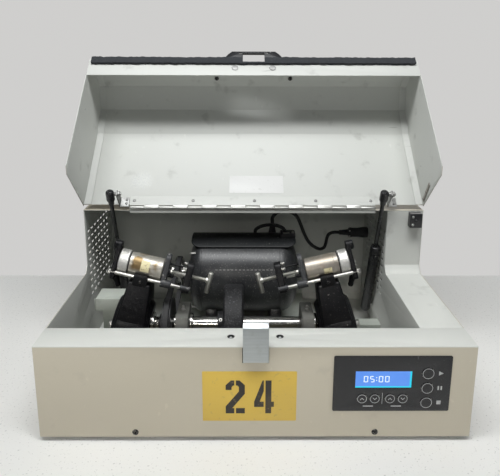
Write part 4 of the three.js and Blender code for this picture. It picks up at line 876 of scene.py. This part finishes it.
strut_black = finish("strut_enamel", enamel_look((0.014, 0.014, 0.016), 0.16, 0.3))
strut_tilt = math.radians(19.560867)
strut_reach = 295.224
strut_along = Vector((0, -math.sin(strut_tilt), math.cos(strut_tilt)))
socket_start = strut_reach - 23
cylinder_profile = [
    (0, -10), (5, -9.2), (8.6, -7.4), (10, -4.8), (10, 152), (9.4, 153.2), (10, 154.4), (10, 165),
    (9, 168.4), (7.6, 169), (4.4, 169), (4.4, 40), (0, 40),
]
rod_profile = [
    (0, 110), (4, 110), (4, socket_start), (5.4, socket_start), (5.8, socket_start + 5),
    (7.4, socket_start + 9), (8, strut_reach - 12), (8, strut_reach + 2), (7.4, strut_reach + 5),
    (5.6, strut_reach + 6.8), (0, strut_reach + 7),
]
strut_halves = {"cylinder": (cylinder_profile, 0.4, 64), "rod": (rod_profile, 0.35, 48)}
for hand, x in strut_places:
    for half, (profile, edge, steps) in strut_halves.items():
        work = turned(profile, (x, 358, 38), strut_along, edge, steps)
        piece(f"{hand}_gas_{half}", work, strut_black, f"strut_{half}_{hand}", "black_enamel",
              [f"strut_{half}_{hand}"], drawn)


# Mechanism frame: a flanged steel plate on the isolators, with a bent bracket out to each side.
# It is painted pale grey green, and it carries the bearings, the motor and the belt drive.
def cut(work, place, normal):
    """Adds the edges where a plane crosses a shape."""
    everything = work.verts[:] + work.edges[:] + work.faces[:]
    bmesh.ops.bisect_plane(work, geom=everything, plane_co=place, plane_no=normal)


frame_paint = finish("frame_paint", coat_look((0.46, 0.49, 0.44), 0.45))
frame_sheet = 4
frame_low, frame_top = 22.1, 26.1
window_x, window_y = (-64, 26), (232, 402)
window_middle = Vector((sum(window_x) / 2, sum(window_y) / 2))
frame_work = bmesh.new()
block(frame_work, (288, 438, frame_sheet), (-28, 231, (frame_low + frame_top) / 2))
for x in window_x:
    cut(frame_work, (x, 0, 0), (1, 0, 0))
for y in window_y:
    cut(frame_work, (0, y, 0), (0, 1, 0))
window = [f for f in frame_work.faces if abs(f.normal.z) > 0.5
          and (f.calc_center_median().xy - window_middle).length < 1]
window_rims = [e for f in window for e in f.edges]
bmesh.ops.delete(frame_work, geom=window, context="FACES_ONLY")
bmesh.ops.bridge_loops(frame_work, edges=[e for e in window_rims if e.is_valid])
bmesh.ops.recalc_face_normals(frame_work, faces=frame_work.faces)
ease(frame_work, 0.6)


def bent(line, thick, low, high):
    """A strip of sheet whose y, z line runs along its outer face, from low to high in x."""
    points = [Vector(p) for p in line]
    inner = []
    for number, point in enumerate(points):
        ways = []
        if number:
            ways.append((point - points[number - 1]).normalized())
        if number < len(points) - 1:
            ways.append((points[number + 1] - point).normalized())
        way = sum(ways, Vector((0, 0))).normalized()
        spread = thick / max(0.3, way.dot(ways[0]))
        inner.append(point + Vector((-way.y, way.x)) * spread)
    outline = [tuple(p) for p in points] + [tuple(p) for p in reversed(inner)]
    return plate(outline, low, high, "yz", 0.8)


frame_parts = [
    frame_work,
    bent([(12, 38), (12, frame_low)], frame_sheet, -172, 116),
    bent([(450, frame_low), (450, 38)], frame_sheet, -172, 116),
    plate(rounded(-298, -168, 214, 260, 2), frame_low, frame_top, "xy", 0.6),
    bent([(214, 100), (214, 124), (260, 124), (260, 24)], -frame_sheet, -298, -244),
    bent([(214, 100), (214, 124), (218, 124)], -frame_sheet, -300, -298.5),
    plate(rounded(112, 236, 214, 260, 2), frame_low, frame_top, "xy", 0.6),
    bent([(190, 74), (190, 84), (214, 84), (214, 24)], -frame_sheet, 196, 236),
]
piece("mechanism_plate", frame_parts, frame_paint, "cabinet", "grey_paint",
      ["mechanism_frame"], drawn)


def hex_bolt(origin, along, across, height):
    """A hexagon head on its washer."""
    r = across / 2
    head = [(0, 0), (r, 0), (r, height - 0.6), (r - 0.8, height), (0, height)]
    lifted = Vector(origin) + Vector(along).normalized() * 0.9
    return gathered(turned(bar_profile(1.25 * r, 0, 1), origin, along, 0.2, 32),
                    turned(head, lifted, along, 0.25, 6))


bolt_look = brushed_look((0.58, 0.57, 0.54), 0.32, (1, 1, 1), (0.2, 0.16, 0.1), 0.4)
bolt_zinc = finish("bolt_zinc", bolt_look)
plate_bolts = [
    hex_bolt((x, y, frame_top), (0, 0, 1), 11, 5) for x in mount_places.values() for y in (34, 434)]
piece("isolator_bolts", plate_bolts, bolt_zinc, "cabinet", "zinc_steel", place=drawn)


# Bearing blocks: tapered castings, painted dull grey, each on a wide foot with two bolts.
# A grease nipple stands in the top of each head.
def casting_look(points):
    tint = (0.150, 0.150, 0.135)
    cloud = noise_of(points, 25, 4)
    grit = noise_of(points, 650, 3)
    pale = between(grit, 0.60, 0.74)
    oil = spots(points, 18, 4, 0.55, 0.75)
    colour = mixed(cloud, toned(tint, 0.75), tint)
    colour = mixed(pale * 0.35, colour, toned(tint, 2.2, 0.02))
    return {
        "Base Color": mixed(oil * 0.45, colour, (0.035, 0.033, 0.028)),
        "Roughness": 0.5 + 0.2 * grit - oil * 0.15,
        "Bump": (grit, 0.0004),
    }


bearing_grey = finish("bearing_casting", casting_look)
shaft_y, shaft_z = 155.5, 105
nipple = [(0, 0), (3.4, 0), (3.4, 3), (2, 4), (2, 6), (2.6, 7), (1.6, 9), (0, 9)]
for hand, middle_x, foot_x in (("left", -125.5, -106.5), ("right", 93.5, 75)):
    extras = gathered(
        turned(nipple, (middle_x, shaft_y, 131.8), (0, 0, 1), 0.2, 24),
        *[hex_bolt((foot_x, y, 40.3), (0, 0, 1), 12, 6) for y in (122, 189)])
    extras.transform(drawn)
    casting = copy_of(f"bearing_block_{hand}", 0.0012, 3)
    piece(f"{hand}_bearing", [casting, (1, extras)], [bearing_grey, bolt_zinc], "cabinet",
          "grey_casting", [f"bearing_block_{hand}"])


# Main shaft: ground steel with a slanted hub near each end and a bolt in each end face.
# Two polished collars stand beside the belt, and a ring closes each bearing.
def ground_look(points):
    tint = (0.66, 0.65, 0.62)
    ring = noise_of(points, 500, 2, (1, 0.05, 0.05))
    haze = noise_of(points, 30, 4)
    stain = spots(points, 55, 4, 0.60, 0.74)
    clean = mixed(haze, toned(tint, 0.85), tint)
    return {
        "Base Color": mixed(stain * 0.35, clean, (0.24, 0.20, 0.15)),
        "Metallic": 1.0,
        "Roughness": 0.16 + 0.12 * ring + 0.1 * stain,
    }


ground_steel = finish("ground_steel", ground_look)
shaft_line = ((0, shaft_y, shaft_z), axis_x)
shaft_parts = [turned(bar_profile(12.7, -250, 180), *shaft_line, 0.8)]
for low, high, radius in (
        (-187, -176.5, 21), (-141.5, -136.6, 20), (104.6, 110, 19), (-114.6, -109, 19)):
    shaft_parts.append(turned(ring_profile(12.6, radius, low, high), *shaft_line, 0.8))
for low, high in ((-256.9, -249.9), (179.9, 186.9)):
    shaft_parts.append((1, turned(bar_profile(8, low, high), *shaft_line, 0.6, 6)))
clamp_tilt = math.radians(14)
tilt_cos, tilt_sin = math.cos(clamp_tilt), math.sin(clamp_tilt)
clamp_sets = {
    "left": (
        (-224, shaft_y, shaft_z),
        (tilt_cos, 0, -tilt_sin), (0, 1, 0), (tilt_sin, 0, tilt_cos)),
    "right": (
        (154, shaft_y, shaft_z),
        (-tilt_cos, 0, -tilt_sin), (0, -1, 0), (-tilt_sin, 0, tilt_cos)),
}
for centre, along, *_ in clamp_sets.values():
    shaft_parts.append(turned(bar_profile(30, -21, 35), centre, along, 1.2, 96))
piece("shaft_and_hubs", shaft_parts, [ground_steel, bolt_zinc], "drive_shaft",
      "bright_steel", ["main_shaft"], drawn)


# Flywheel: rough cast iron under black enamel, with a dished web, and its collar with a set screw.
# The rim's skin is coarse, and it has caught pale dust.
def rough_iron_look(points):
    grit = noise_of(points, 420, 4)
    pale = between(grit, 0.56, 0.70)
    cloud = noise_of(points, 14, 3)
    return {
        "Base Color": mixed(pale * 0.55 + cloud * 0.05, (0.008, 0.008, 0.009), (0.13, 0.13, 0.135)),
        "Roughness": 0.40 + 0.25 * grit,
        "Specular IOR Level": 0.35,
        "Bump": (grit, 0.0011),
    }


rough_iron = finish("rough_cast_iron", rough_iron_look)
flywheel_profile = [
    (13, -64.8), (22, -64.8), (22, -53), (26, -53), (30, -51), (33, -48.6), (50, -48), (54, -49.5),
    (58.5, -53), (66.5, -53), (69.5, -50), (69.5, -22), (66.5, -19), (58.5, -19), (54, -22.5),
    (50, -24), (33, -23.4), (30, -21), (26, -19), (13, -19), (13, -64.8),
]
set_screw = turned([(0, 0), (3, 0), (3, 1), (1.6, 1), (1.6, -0.6), (0, -0.6)],
                   (-59, shaft_y - 15.4, shaft_z + 15.4), (0, -1, 1), 0.15, 24)
flywheel_parts = [turned(flywheel_profile, *shaft_line, 0.9, 128), (1, set_screw)]
piece("cast_flywheel", flywheel_parts, [rough_iron, bolt_zinc], "drive_shaft", "black_enamel",
      ["flywheel"], drawn)


# Belt drive: a moulded rubber belt round two machined pulleys, the small one on the motor's shaft.
belt_x = -152
half_groove = 5.3
half_pulley = 7.3
large_radius = 41
small_radius = 25
motor_y, motor_z = 319, 133
motor_line = ((0, motor_y, motor_z), axis_x)


def pulley_profile(radius, bore):
    """A grooved pulley whose hub stands out on its left."""
    rim = radius + 5
    groove = radius - 0.6
    return [(a, b + belt_x) for a, b in [
        (bore, -15.3), (17, -15.3), (18, -14.3), (18, -half_pulley), (rim - 0.6, -half_pulley),
        (rim, 0.6 - half_pulley), (rim, -half_groove - 0.4), (rim - 1.2, -half_groove),
        (groove, -half_groove), (groove, half_groove), (rim - 1.2, half_groove),
        (rim, half_groove + 0.4), (rim, half_pulley - 0.6), (rim - 0.6, half_pulley),
        (18, half_pulley), (bore, half_pulley),
    ]]


large_profile = pulley_profile(large_radius, 13)
pulley_black = finish("pulley_enamel", enamel_look((0.020, 0.020, 0.022), 0.28))
piece("large_pulley", turned(large_profile + large_profile[:1], *shaft_line, 0.25, 96),
      pulley_black, "drive_shaft", "black_enamel", ["drive_pulley"], drawn)
rotor_parts = [
    turned(pulley_profile(small_radius, 0), *motor_line, 0.25, 72),
    turned(bar_profile(8, -166, -69), *motor_line, 0.6, 40),
]
piece("small_pulley_and_shaft", rotor_parts, ground_steel, "rotor", "zinc_steel",
      ["motor_rotor"], drawn)


def belt_line(spare, steps=48):
    """The belt's loop, that far outside the radii of its pulleys."""
    run_y, run_z = motor_y - shaft_y, motor_z - shaft_z
    heading = math.atan2(run_z, run_y)
    wrap = math.acos((large_radius - small_radius) / math.hypot(run_y, run_z))
    outline = []
    for centre_y, centre_z, radius, start, sweep in (
            (shaft_y, shaft_z, large_radius, heading + wrap, math.tau - 2 * wrap),
            (motor_y, motor_z, small_radius, heading - wrap, 2 * wrap)):
        reach = radius + spare
        for step in range(steps + 1):
            angle = start + sweep * step / steps
            outline.append((centre_y + reach * math.cos(angle), centre_z + reach * math.sin(angle)))
    return outline


belt_work = bmesh.new()
rings = []
for spare, x in ((0.05, -4.2), (6.8, -5), (7.9, -4.2), (7.9, 4.2), (6.8, 5), (0.05, 4.2)):
    rings.append([belt_work.verts.new((belt_x + x, y, z)) for y, z in belt_line(spare)])
for ring in rings:
    for first, second in zip(ring, ring[1:] + ring[:1]):
        belt_work.edges.new((first, second))
for first, second in zip(rings, rings[1:] + rings[:1]):
    pair = [e for e in belt_work.edges if (e.verts[0] in first and e.verts[1] in first)
            or (e.verts[0] in second and e.verts[1] in second)]
    bmesh.ops.bridge_loops(belt_work, edges=pair)
bmesh.ops.recalc_face_normals(belt_work, faces=belt_work.faces)
belt_rubber = finish("belt_rubber", rubber_look((0.020, 0.020, 0.021)))
piece("drive_belt", belt_work, belt_rubber, "cabinet", "rubber", ["v_belt"], drawn, 50)


# Motor: a rolled barrel between two pressed end bells, in satin black enamel with chips.
# It stands on two welded feet, and a row of short louvres runs along its front.
def motor_look(points):
    sockets = enamel_look((0.020, 0.021, 0.023), 0.26, 0.55)(points)
    chip = spots(points, 130, 2, 0.715, 0.73, (0.7, 1, 1))
    sockets["Base Color"] = mixed(chip, sockets["Base Color"], (0.008, 0.008, 0.009))
    return sockets


motor_black = finish("motor_enamel", motor_look)
louvre_dust = finish("dusty_louvre", sticker_look((0.20, 0.20, 0.19), (0.42, 0.42, 0.40), 0.6))
motor_wall = 8
boss_radius = 24
barrel_radius = 78
inner_radius = barrel_radius - motor_wall
bell_left, barrel_left, barrel_right, bell_right = -129, -103, 54, 90


def bell(outer, barrel):
    """The quarter curve of an end bell, from its boss out to the barrel."""
    curve = []
    for step in range(9):
        angle = math.radians(90 * step / 8)
        reach = boss_radius + (barrel_radius - boss_radius) * math.sin(angle)
        curve.append((reach, outer + (barrel - outer) * (1 - math.cos(angle))))
    return curve


def seam(*places):
    """The shallow groove where the barrel meets a bell."""
    floor_radius = barrel_radius - 0.8
    return list(zip((barrel_radius, floor_radius, floor_radius, barrel_radius), places))


def motor_point(reach, angle):
    """The y and z of a point round the motor's axis."""
    turn = math.radians(angle)
    return motor_y + reach * math.cos(turn), motor_z + reach * math.sin(turn)


barrel_profile = [
    (0, bell_right - motor_wall), (boss_radius, bell_right - motor_wall),
    (inner_radius, barrel_right), (inner_radius, barrel_left),
    (boss_radius, bell_left + motor_wall), (8.3, bell_left + motor_wall),
    (8.3, -134), (22.8, -134), (boss_radius, -132.8), *bell(bell_left, barrel_left),
    *seam(-102.6, -102.2, -101.2, -100.8), *seam(50.4, 50.8, 51.8, 52.2),
    *reversed(bell(bell_right, barrel_right)), (0, bell_right),
]
motor_parts = [turned(barrel_profile, *motor_line, 0, 160)]
foot_low, foot_top = 26.4, 32.4
foot_outline = [(253, foot_low), (385, foot_low), (385, foot_top)]
foot_outline += [motor_point(barrel_radius - 0.8, angle) for angle in range(-46, -135, -4)]
foot_outline.append((253, foot_top))
for low, high in ((-95, -73), (34, 56)):
    motor_parts.append(plate(foot_outline, low, high, "yz", 0.8))
    for y in (260, 378):
        motor_parts.append((2, hex_bolt(((low + high) / 2, y, foot_top - 0.1), (0, 0, 1), 10, 5)))
barrel_skin = 77.9
louvre_angle = math.radians(153.8)
louvre_out = Vector((0, math.cos(louvre_angle), math.sin(louvre_angle)))
for number in range(17):
    louvre = plate(rounded(-2.4, 2.4, -0.8, 0.8, 0.7, 2), -0.4, 0.5, "xy", 0.2)
    louvre_root = Vector((-72 + 7.6 * number, motor_y, motor_z)) + louvre_out * barrel_skin
    louvre.transform(aimed(louvre_root, louvre_out))
    motor_parts.append((1, louvre))
for angle in (126, 234, 54, 306):
    tie_root = (0, *motor_point(71, angle))
    motor_parts.append((2, turned(bar_profile(1.8, -124, -108), tie_root, axis_x, 0.3, 20)))
piece("motor_barrel", motor_parts, [motor_black, louvre_dust, bolt_zinc], "cabinet",
      "black_enamel", ["motor_body"], drawn)


# Capacitor cover: a pressed hood that hugs the top of the motor, with round corners.
# The terminal block stands on its right end, under a small bright plate.
hood_rise = 4.1
hood = plate(rounded(-124, 85, -43, 52, 20, 8), 0.3, hood_rise, "xy", 1.8, 4)
for number in range(-9, 7):
    cut(hood, (0, 8 * number, 0), (0, 1, 0))
for vert in hood.verts:
    turn = vert.co.y / 80
    reach = barrel_skin + vert.co.z
    vert.co.y, vert.co.z = motor_y + reach * math.sin(turn), motor_z + reach * math.cos(turn)
hood_black = finish("hood_enamel", enamel_look((0.006, 0.007, 0.008), 0.34, 0.2, 0.3))
terminal_low, terminal_top = 209.5, 221.5
terminal = bmesh.new()
block(terminal, (30, 26, 12), (70, 318, (terminal_low + terminal_top) / 2))
ease(terminal, 1.6, 3)
hood_parts = [
    hood, (1, terminal),
    (2, plate(rounded(60, 73, 307, 313, 1), terminal_top + 0.1, terminal_top + 0.9, "xy", 0.2)),
    (2, hex_bolt((80, 312, terminal_top + 0.1), (0, 0, 1), 5, 2)),
]
piece("capacitor_hood", hood_parts, [hood_black, black_plastic, bolt_zinc], "cabinet",
      "black_enamel", ["capacitor_box"], drawn)


# Motor lead: a round black cable from a tapered boot on the motor, over and down behind it, and up
# to its plug in the control bay's wall. A short second cable runs to the terminal block.
def along_route(route, steps=8):
    """Points, in metres, of the centripetal curve through a route of the drawing."""
    knots = [Vector(p) for p in route]
    knots = [2 * knots[0] - knots[1]] + knots + [2 * knots[-1] - knots[-2]]
    line = []
    for a, b, c, d in zip(knots, knots[1:], knots[2:], knots[3:]):
        t1 = (b - a).length ** 0.5
        t2 = t1 + (c - b).length ** 0.5
        t3 = t2 + (d - c).length ** 0.5
        for step in range(steps):
            t = t1 + (t2 - t1) * step / steps
            ab = a * ((t1 - t) / t1) + b * (t / t1)
            bc = b * ((t2 - t) / (t2 - t1)) + c * ((t - t1) / (t2 - t1))
            cd = c * ((t3 - t) / (t3 - t2)) + d * ((t - t2) / (t3 - t2))
            abc = ab * ((t2 - t) / t2) + bc * (t / t2)
            bcd = bc * ((t3 - t) / (t3 - t1)) + cd * ((t - t1) / (t3 - t1))
            line.append(abc * ((t2 - t) / (t2 - t1)) + bcd * ((t - t1) / (t2 - t1)))
    return [drawn @ p for p in line + [knots[-2]]]


cable_width = 0.0072
cable_rubber = finish("cable_rubber", rubber_look((0.013, 0.013, 0.014)))


def cable(name, line):
    """A round cable along a line of points."""
    data = bpy.data.curves.new(name, "CURVE")
    data.dimensions = "3D"
    data.bevel_depth = cable_width / 2
    data.bevel_resolution = 5
    data.use_fill_caps = True
    spline = data.splines.new("POLY")
    spline.points.add(len(line) - 1)
    for knot, place in zip(spline.points, line):
        knot.co = (*place, 1)
    data.materials.append(cable_rubber)
    made = bpy.data.objects.new(name, data)
    bpy.context.scene.collection.objects.link(made)
    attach(made, "cabinet")
    return made, sum((b - a).length for a, b in zip(line, line[1:]))


lead_line = along_route([
    (40, 349, 210), (40, 349, 232.3), (40, 349, 241), (47, 350, 250), (62, 352, 255),
    (79, 355, 252), (92, 360, 241), (101, 368, 222), (111, 380, 196), (123, 394, 172),
    (138, 408, 155), (153, 419, 146), (163, 427, 148), (167, 431, 157), (169, 432, 168),
    (174, 433, 177), (184, 433, 181), (195.8, 433, 181),
])
lead, lead_length = cable("motor_cable", lead_line)
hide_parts("motor_lead")
boot = [(3.7, 0), (7.5, 0), (8, 1.5), (7, 5), (5.6, 14), (5, 20), (3.7, 21), (3.7, 0)]
cable_boot = piece("cable_boot", turned(boot, (40, 349, 208.8), (0, 0, 1), 0.3, 40), black_rubber,
                   "cabinet", "rubber", place=drawn)
plug_y, plug_z = 433, 181
plug_profile = [
    (3.7, 196.1), (5.2, 196.1), (5.6, 200), (5.2, 201), (6, 204), (5.6, 205), (6.4, 208), (6, 209),
    (7, 216), (10.4, 218), (11, 222), (10.2, 226), (10.2, 238), (11.2, 244), (12, 250), (12, 260.1),
    (0, 260.1), (0, 197), (3.7, 197), (3.7, 196.1),
]
plug_parts = [turned(plug_profile, (0, plug_y, plug_z), axis_x, 0.3, 48)]
for z in (plug_z - 6, plug_z + 6):
    plug_parts.append((1, button_screw((218.5, plug_y - 9, z), (0, -1, 0), 1.8, 1.2)))
plug = piece("cable_plug", plug_parts, [black_rubber, bright_screw], "cabinet", "rubber",
             ["lead_connector"], drawn)
loop_line = along_route([
    (4, 344, 210), (5, 343, 217), (13, 341, 224), (26, 338, 229), (40, 334, 231), (52, 329, 230),
    (61, 324.5, 226.5), (65, 322, 221.5),
])
loop, loop_length = cable("terminal_cable", loop_line)
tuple(loop_line[0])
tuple(lead_line[0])


# Vial clamps: each is an enamelled casting that rides on a slanted hub and cradles one vial.
# Its end plate and nut block are joined by two bright rods, and a tee screw pushes the jaw.
def arm_look(points):
    sockets = enamel_look((0.004, 0.004, 0.005), 0.30, 0.12, 0.22)(points)
    sockets["Bump"] = (noise_of(points, 140, 3), 0.0006)
    return sockets


def jaw_look(points):
    grit = noise_of(points, 520, 3)
    chip = spots(points, 160, 4, 0.63, 0.68)
    base = mixed(grit, (0.014, 0.015, 0.017), (0.045, 0.046, 0.050))
    return {
        "Base Color": mixed(chip * 0.6, base, (0.40, 0.39, 0.36)),
        "Roughness": 0.38 + 0.2 * grit,
        "Bump": (grit, 0.0002),
    }


arm_black = finish("arm_enamel", arm_look)
jaw_grey = finish("jaw_finish", jaw_look)
rod_steel = finish("rod_steel", brushed_look((0.66, 0.65, 0.61), 0.28, (0.3, 1, 1)))
cap_look = brushed_look((0.84, 0.83, 0.80), 0.44, (1, 1, 1), (0.4, 0.37, 0.3), 0.2)
cap_alloy = finish("cap_alloy", cap_look)
tee_look = brushed_look((0.88, 0.87, 0.81), 0.34, (1, 1, 1), (0.35, 0.31, 0.20), 0.25)
tee_zinc = finish("tee_zinc", tee_look)


def banded(points, origin, along, low, high, soft):
    """1 where the reach along a direction lies between low and high, in metres."""
    away = points.node("VectorMath", {"operation": "SUBTRACT"}, {0: points, 1: origin})
    reach = away.node("VectorMath", {"operation": "DOT_PRODUCT"}, {0: away, 1: along}, "Value")
    return between(reach, low - soft, low + soft) * (1 - between(reach, high - soft, high + soft))


def vial_look(hand, tint, label, stain_share):
    """Worn steel with a stain near its top and the rest of a gold label, whose bounds are in mm."""
    centre, u, v, w = clamp_sets[hand]
    origin = at(*centre)
    front = Vector(v) * (-1 if hand == "left" else 1)

    def look(points):
        u_low, u_high, w_low, w_high = (0.001 * size for size in label)
        patch = banded(points, origin, u, u_low, u_high, 0.0006)
        patch = patch * banded(points, origin, w, w_low, w_high, 0.0006)
        patch = patch * banded(points, origin, front, 0.005, 0.04, 0.001)
        turned_line = noise_of(points, 300, 2, (1, 0.2, 0.2))
        cloud = noise_of(points, 38, 5)
        stain = between(cloud, 0.46, 0.60) * banded(points, origin, u, -0.016, 0.028, 0.004)
        stain = stain * banded(points, origin, w, 0.112, 0.140, 0.005)
        wash = spots(points, 22, 4, 0.45, 0.7)
        shade = mixed(turned_line, toned(tint, 0.75), tint)
        shade = mixed(wash * 0.35, shade, (0.36, 0.31, 0.23))
        shade = mixed(stain * stain_share, shade, (0.22, 0.14, 0.045))
        speck = spots(points, 240, 3, 0.56, 0.60)
        gold = mixed(speck, (0.82, 0.74, 0.46), (0.60, 0.52, 0.30))
        return {
            "Base Color": mixed(patch, shade, gold),
            "Metallic": (1 - patch) * 0.85,
            "Roughness": 0.36 + 0.15 * cloud + 0.15 * patch,
        }
    return look


left_vial_look = vial_look("left", (0.68, 0.65, 0.59), (1, 16, 112, 130), 0.9)
right_vial_look = vial_look("right", (0.46, 0.42, 0.37), (-6, 8, 108, 118), 0.2)
vial_finishes = {
    "left": finish("left_vial_steel", left_vial_look),
    "right": finish("right_vial_steel", right_vial_look),
}
vial_radius = 19.8
vial_height = 115
vial_line = ((0, 0, vial_height), axis_x)
cap_radius = 21.2
rod_height = 101


def knurled_cap():
    """A turned cap whose rim is cut into small diamonds."""
    low, high = -36.5, -22.5
    rows, columns = 8, 120
    profile = [(0, -38), (cap_radius - 1.4, -38), (cap_radius, low)]
    profile += [(cap_radius, low + (high - low) * row / rows) for row in range(1, rows)]
    profile += [(cap_radius, high), (cap_radius - 0.8, -21.3), (17, -21.3), (17, -16), (0, -16)]
    work = turned(profile, *vial_line, 0, columns)
    step = (high - low) / rows
    for vert in work.verts:
        x, y, z = vert.co.x, vert.co.y, vert.co.z - vial_height
        reach = math.hypot(y, z)
        if reach > cap_radius - 0.1 and low < x < high:
            row = round((x - low) / step)
            column = round(math.atan2(z, y) / math.tau * columns)
            if (row + column) % 2:
                shrink = (reach - 0.5) / reach
                vert.co.y, vert.co.z = y * shrink, vial_height + z * shrink
    return work


def tapered(half, top_half, top, low):
    """A clamp plate's outline, square at its foot and tapered to a round top."""
    corner, bend = 3, 101
    outline = [(-half + corner, low), (half - corner, low), (half, low + corner)]
    outline += [(half, bend - 2), (half - 1, bend + 1)]
    for step in range(9):
        angle = math.radians(20 + 140 * step / 8)
        outline.append((top_half * math.cos(angle), top - top_half + top_half * math.sin(angle)))
    return outline + [(1 - half, bend + 1), (-half, bend - 2), (-half, low + corner)]


def clamp_piece(hand, name, parts, materials, body, slot, node, angle=30):
    """A piece of one clamp, drawn about its hub with x along the hub and z up to the vial."""
    centre, u, v, w = clamp_sets[hand]
    place = drawn @ Matrix.Translation(centre) @ Matrix((u, v, w)).transposed().to_4x4()
    piece(f"{hand}_{name}", parts, materials, f"{body}_{hand}", slot, [f"{node}_{hand}"], place,
          angle)


shoulder = [
    (30.3, -24), (44, -24), (46, -22.6), (52, -16), (52, 30), (46, 36.6), (44, 38), (30.3, 38),
    (30.3, -24),
]
cradle = [(-28, 78), (28, 78), (28, 104), (26, 107), (19.6, 107)]
for step in range(13):
    angle = math.radians(-24 - 132 * step / 12)
    cradle.append((20.6 * math.cos(angle), vial_height + 20.6 * math.sin(angle)))
cradle += [(-19.6, 107), (-26, 107), (-28, 104)]
nose = [(0, -51.8), (7, -51.8), (8.4, -50.4), (8.4, -45), (0, -45)]
toe = [(0, 0), (6.5, 0), (6, 8), (4.5, 20), (5, 24), (4, 27), (0, 28)]
rod_nut = [(0, 0), (5.6, 0), (5.6, 3.4), (4.6, 4.2), (4.0, 5.6), (2.2, 6.4), (0, 6.8)]
sleeve = [(3.2, 74), (4.6, 74), (4.6, 91), (4, 92), (0, 92)]
boss = [(3.4, 40), (6.8, 40), (6.8, 57), (5.8, 58), (3.4, 58), (3.4, 40)]
thread = [(0, 51.2), (3.4, 51.2), (3.4, 54)]
for turn in range(40):
    start = 54.5 + 1.55 * turn
    thread += [(3.4, start), (2.9, start + 0.7)]
thread += [(3.4, 117), (3.4, 121), (0, 121)]
tee = [(0, 92), (3.6, 92), (4.4, 92.9), (4.4, 129.1), (3.6, 130), (0, 130)]
skin = vial_radius - 0.5
shell = [
    (0, 35), (16.8, 35), (16.8, -21.2), (18.6, -21.2), (18.6, -19.4), (skin, -19), (skin, -12),
    (vial_radius, -11.6), (vial_radius, 37), (vial_radius - 1.2, 38.6), (0, 38.6),
]
seal = [(18.4, -21.1), (19.6, -20.9), (19.6, -19.6), (18.4, -19.2), (18.4, -21.1)]
for hand in ("left", "right"):
    column = bmesh.new()
    for vert in bmesh.ops.create_cube(column, size=1)["verts"]:
        high, inner = vert.co.z > 0, vert.co.x > 0
        vert.co.x = (25 if high else 33) if inner else (-13 if high else -19)
        vert.co.y = math.copysign(27 if high else 46, vert.co.y)
        vert.co.z = 92 if high else 20
    ease(column, 2.5, 4)
    saddle = plate(cradle, -6, 18, "yz", 1.2, 3)
    arm = [turned(shoulder, (0, 0, 0), axis_x, 1.2, 96), column, saddle]
    arm += [(1, button_screw((6, side * 28, 96), (0, side, 0), 3, 1.4)) for side in (-1, 1)]
    clamp_piece(hand, "arm_casting", arm, [arm_black, dark_steel], "clamp", "black_enamel",
                "clamp_arm", 40)
    yoke = [
        plate(tapered(26, 8.5, 151, 88), -46, -38.4, "yz", 1.2, 3),
        turned(nose, (0, 0, 142.5), axis_x, 0.4, 40),
        turned(toe, (-43, 0, 92), (0.42, 0, -0.9), 0.4, 28),
        plate(tapered(26, 12, 141, 92), 78, 90, "yz", 1.2, 3),
        turned(bar_profile(1.8, 48, 79), (0, 0, 129), axis_x, 0.3, 24),
    ]
    jaw = [
        plate(tapered(25, 12, 147, 95), 39.4, 48, "yz", 1.3, 3),
        turned([(0, 47), (8, 47), (8, 50), (7.2, 50.8), (0, 50.8)], *vial_line, 0.3, 40),
    ]
    for y in (-22, 22):
        rod_line = ((0, y, rod_height), axis_x)
        yoke += [
            (1, turned(bar_profile(3.2, -49, 92), *rod_line, 0.5, 32)),
            (1, turned(rod_nut, (-45.9, y, rod_height), (-1, 0, 0), 0.25, 6)),
            (1, button_screw((-45.9, 0.72 * y, rod_height + 9), (-1, 0, 0), 3.2, 2)),
            (2, turned(sleeve, *rod_line, 0.4, 32)),
        ]
        jaw.append(turned(boss, *rod_line, 0.4, 32))
    for y, z in ((-12, 131), (12, 131), (-15, 122)):
        yoke.append((1, hex_bolt((78.1, y, z), (-1, 0, 0), 5.6, 6)))
    clamp_piece(hand, "yoke", yoke, [arm_black, rod_steel, jaw_grey], "clamp", "black_enamel",
                "clamp_yoke")
    clamp_piece(hand, "jaw_plate", jaw, jaw_grey, "jaw", "black_enamel", "clamp_jaw")
    screw = [
        turned(thread, *vial_line, 0, 28),
        turned(tee, (121, 0, 0), (0, 0, 1), 0.3, 32),
        turned(bar_profile(4.8, 114.5, 120), *vial_line, 0.5, 32),
    ]
    clamp_piece(hand, "tee_screw", screw, tee_zinc, "screw", "bright_steel", "clamp_screw")
    vial = [turned(shell, *vial_line, 0.25, 96), (1, turned(seal, *vial_line, 0.2, 96))]
    clamp_piece(hand, "vial_body", vial, [vial_finishes[hand], black_rubber], "clamp",
                "bright_steel", "vial")
    clamp_piece(hand, "vial_lid", [knurled_cap()], cap_alloy, "clamp", "cap_aluminium",
                "vial_cap", 12)
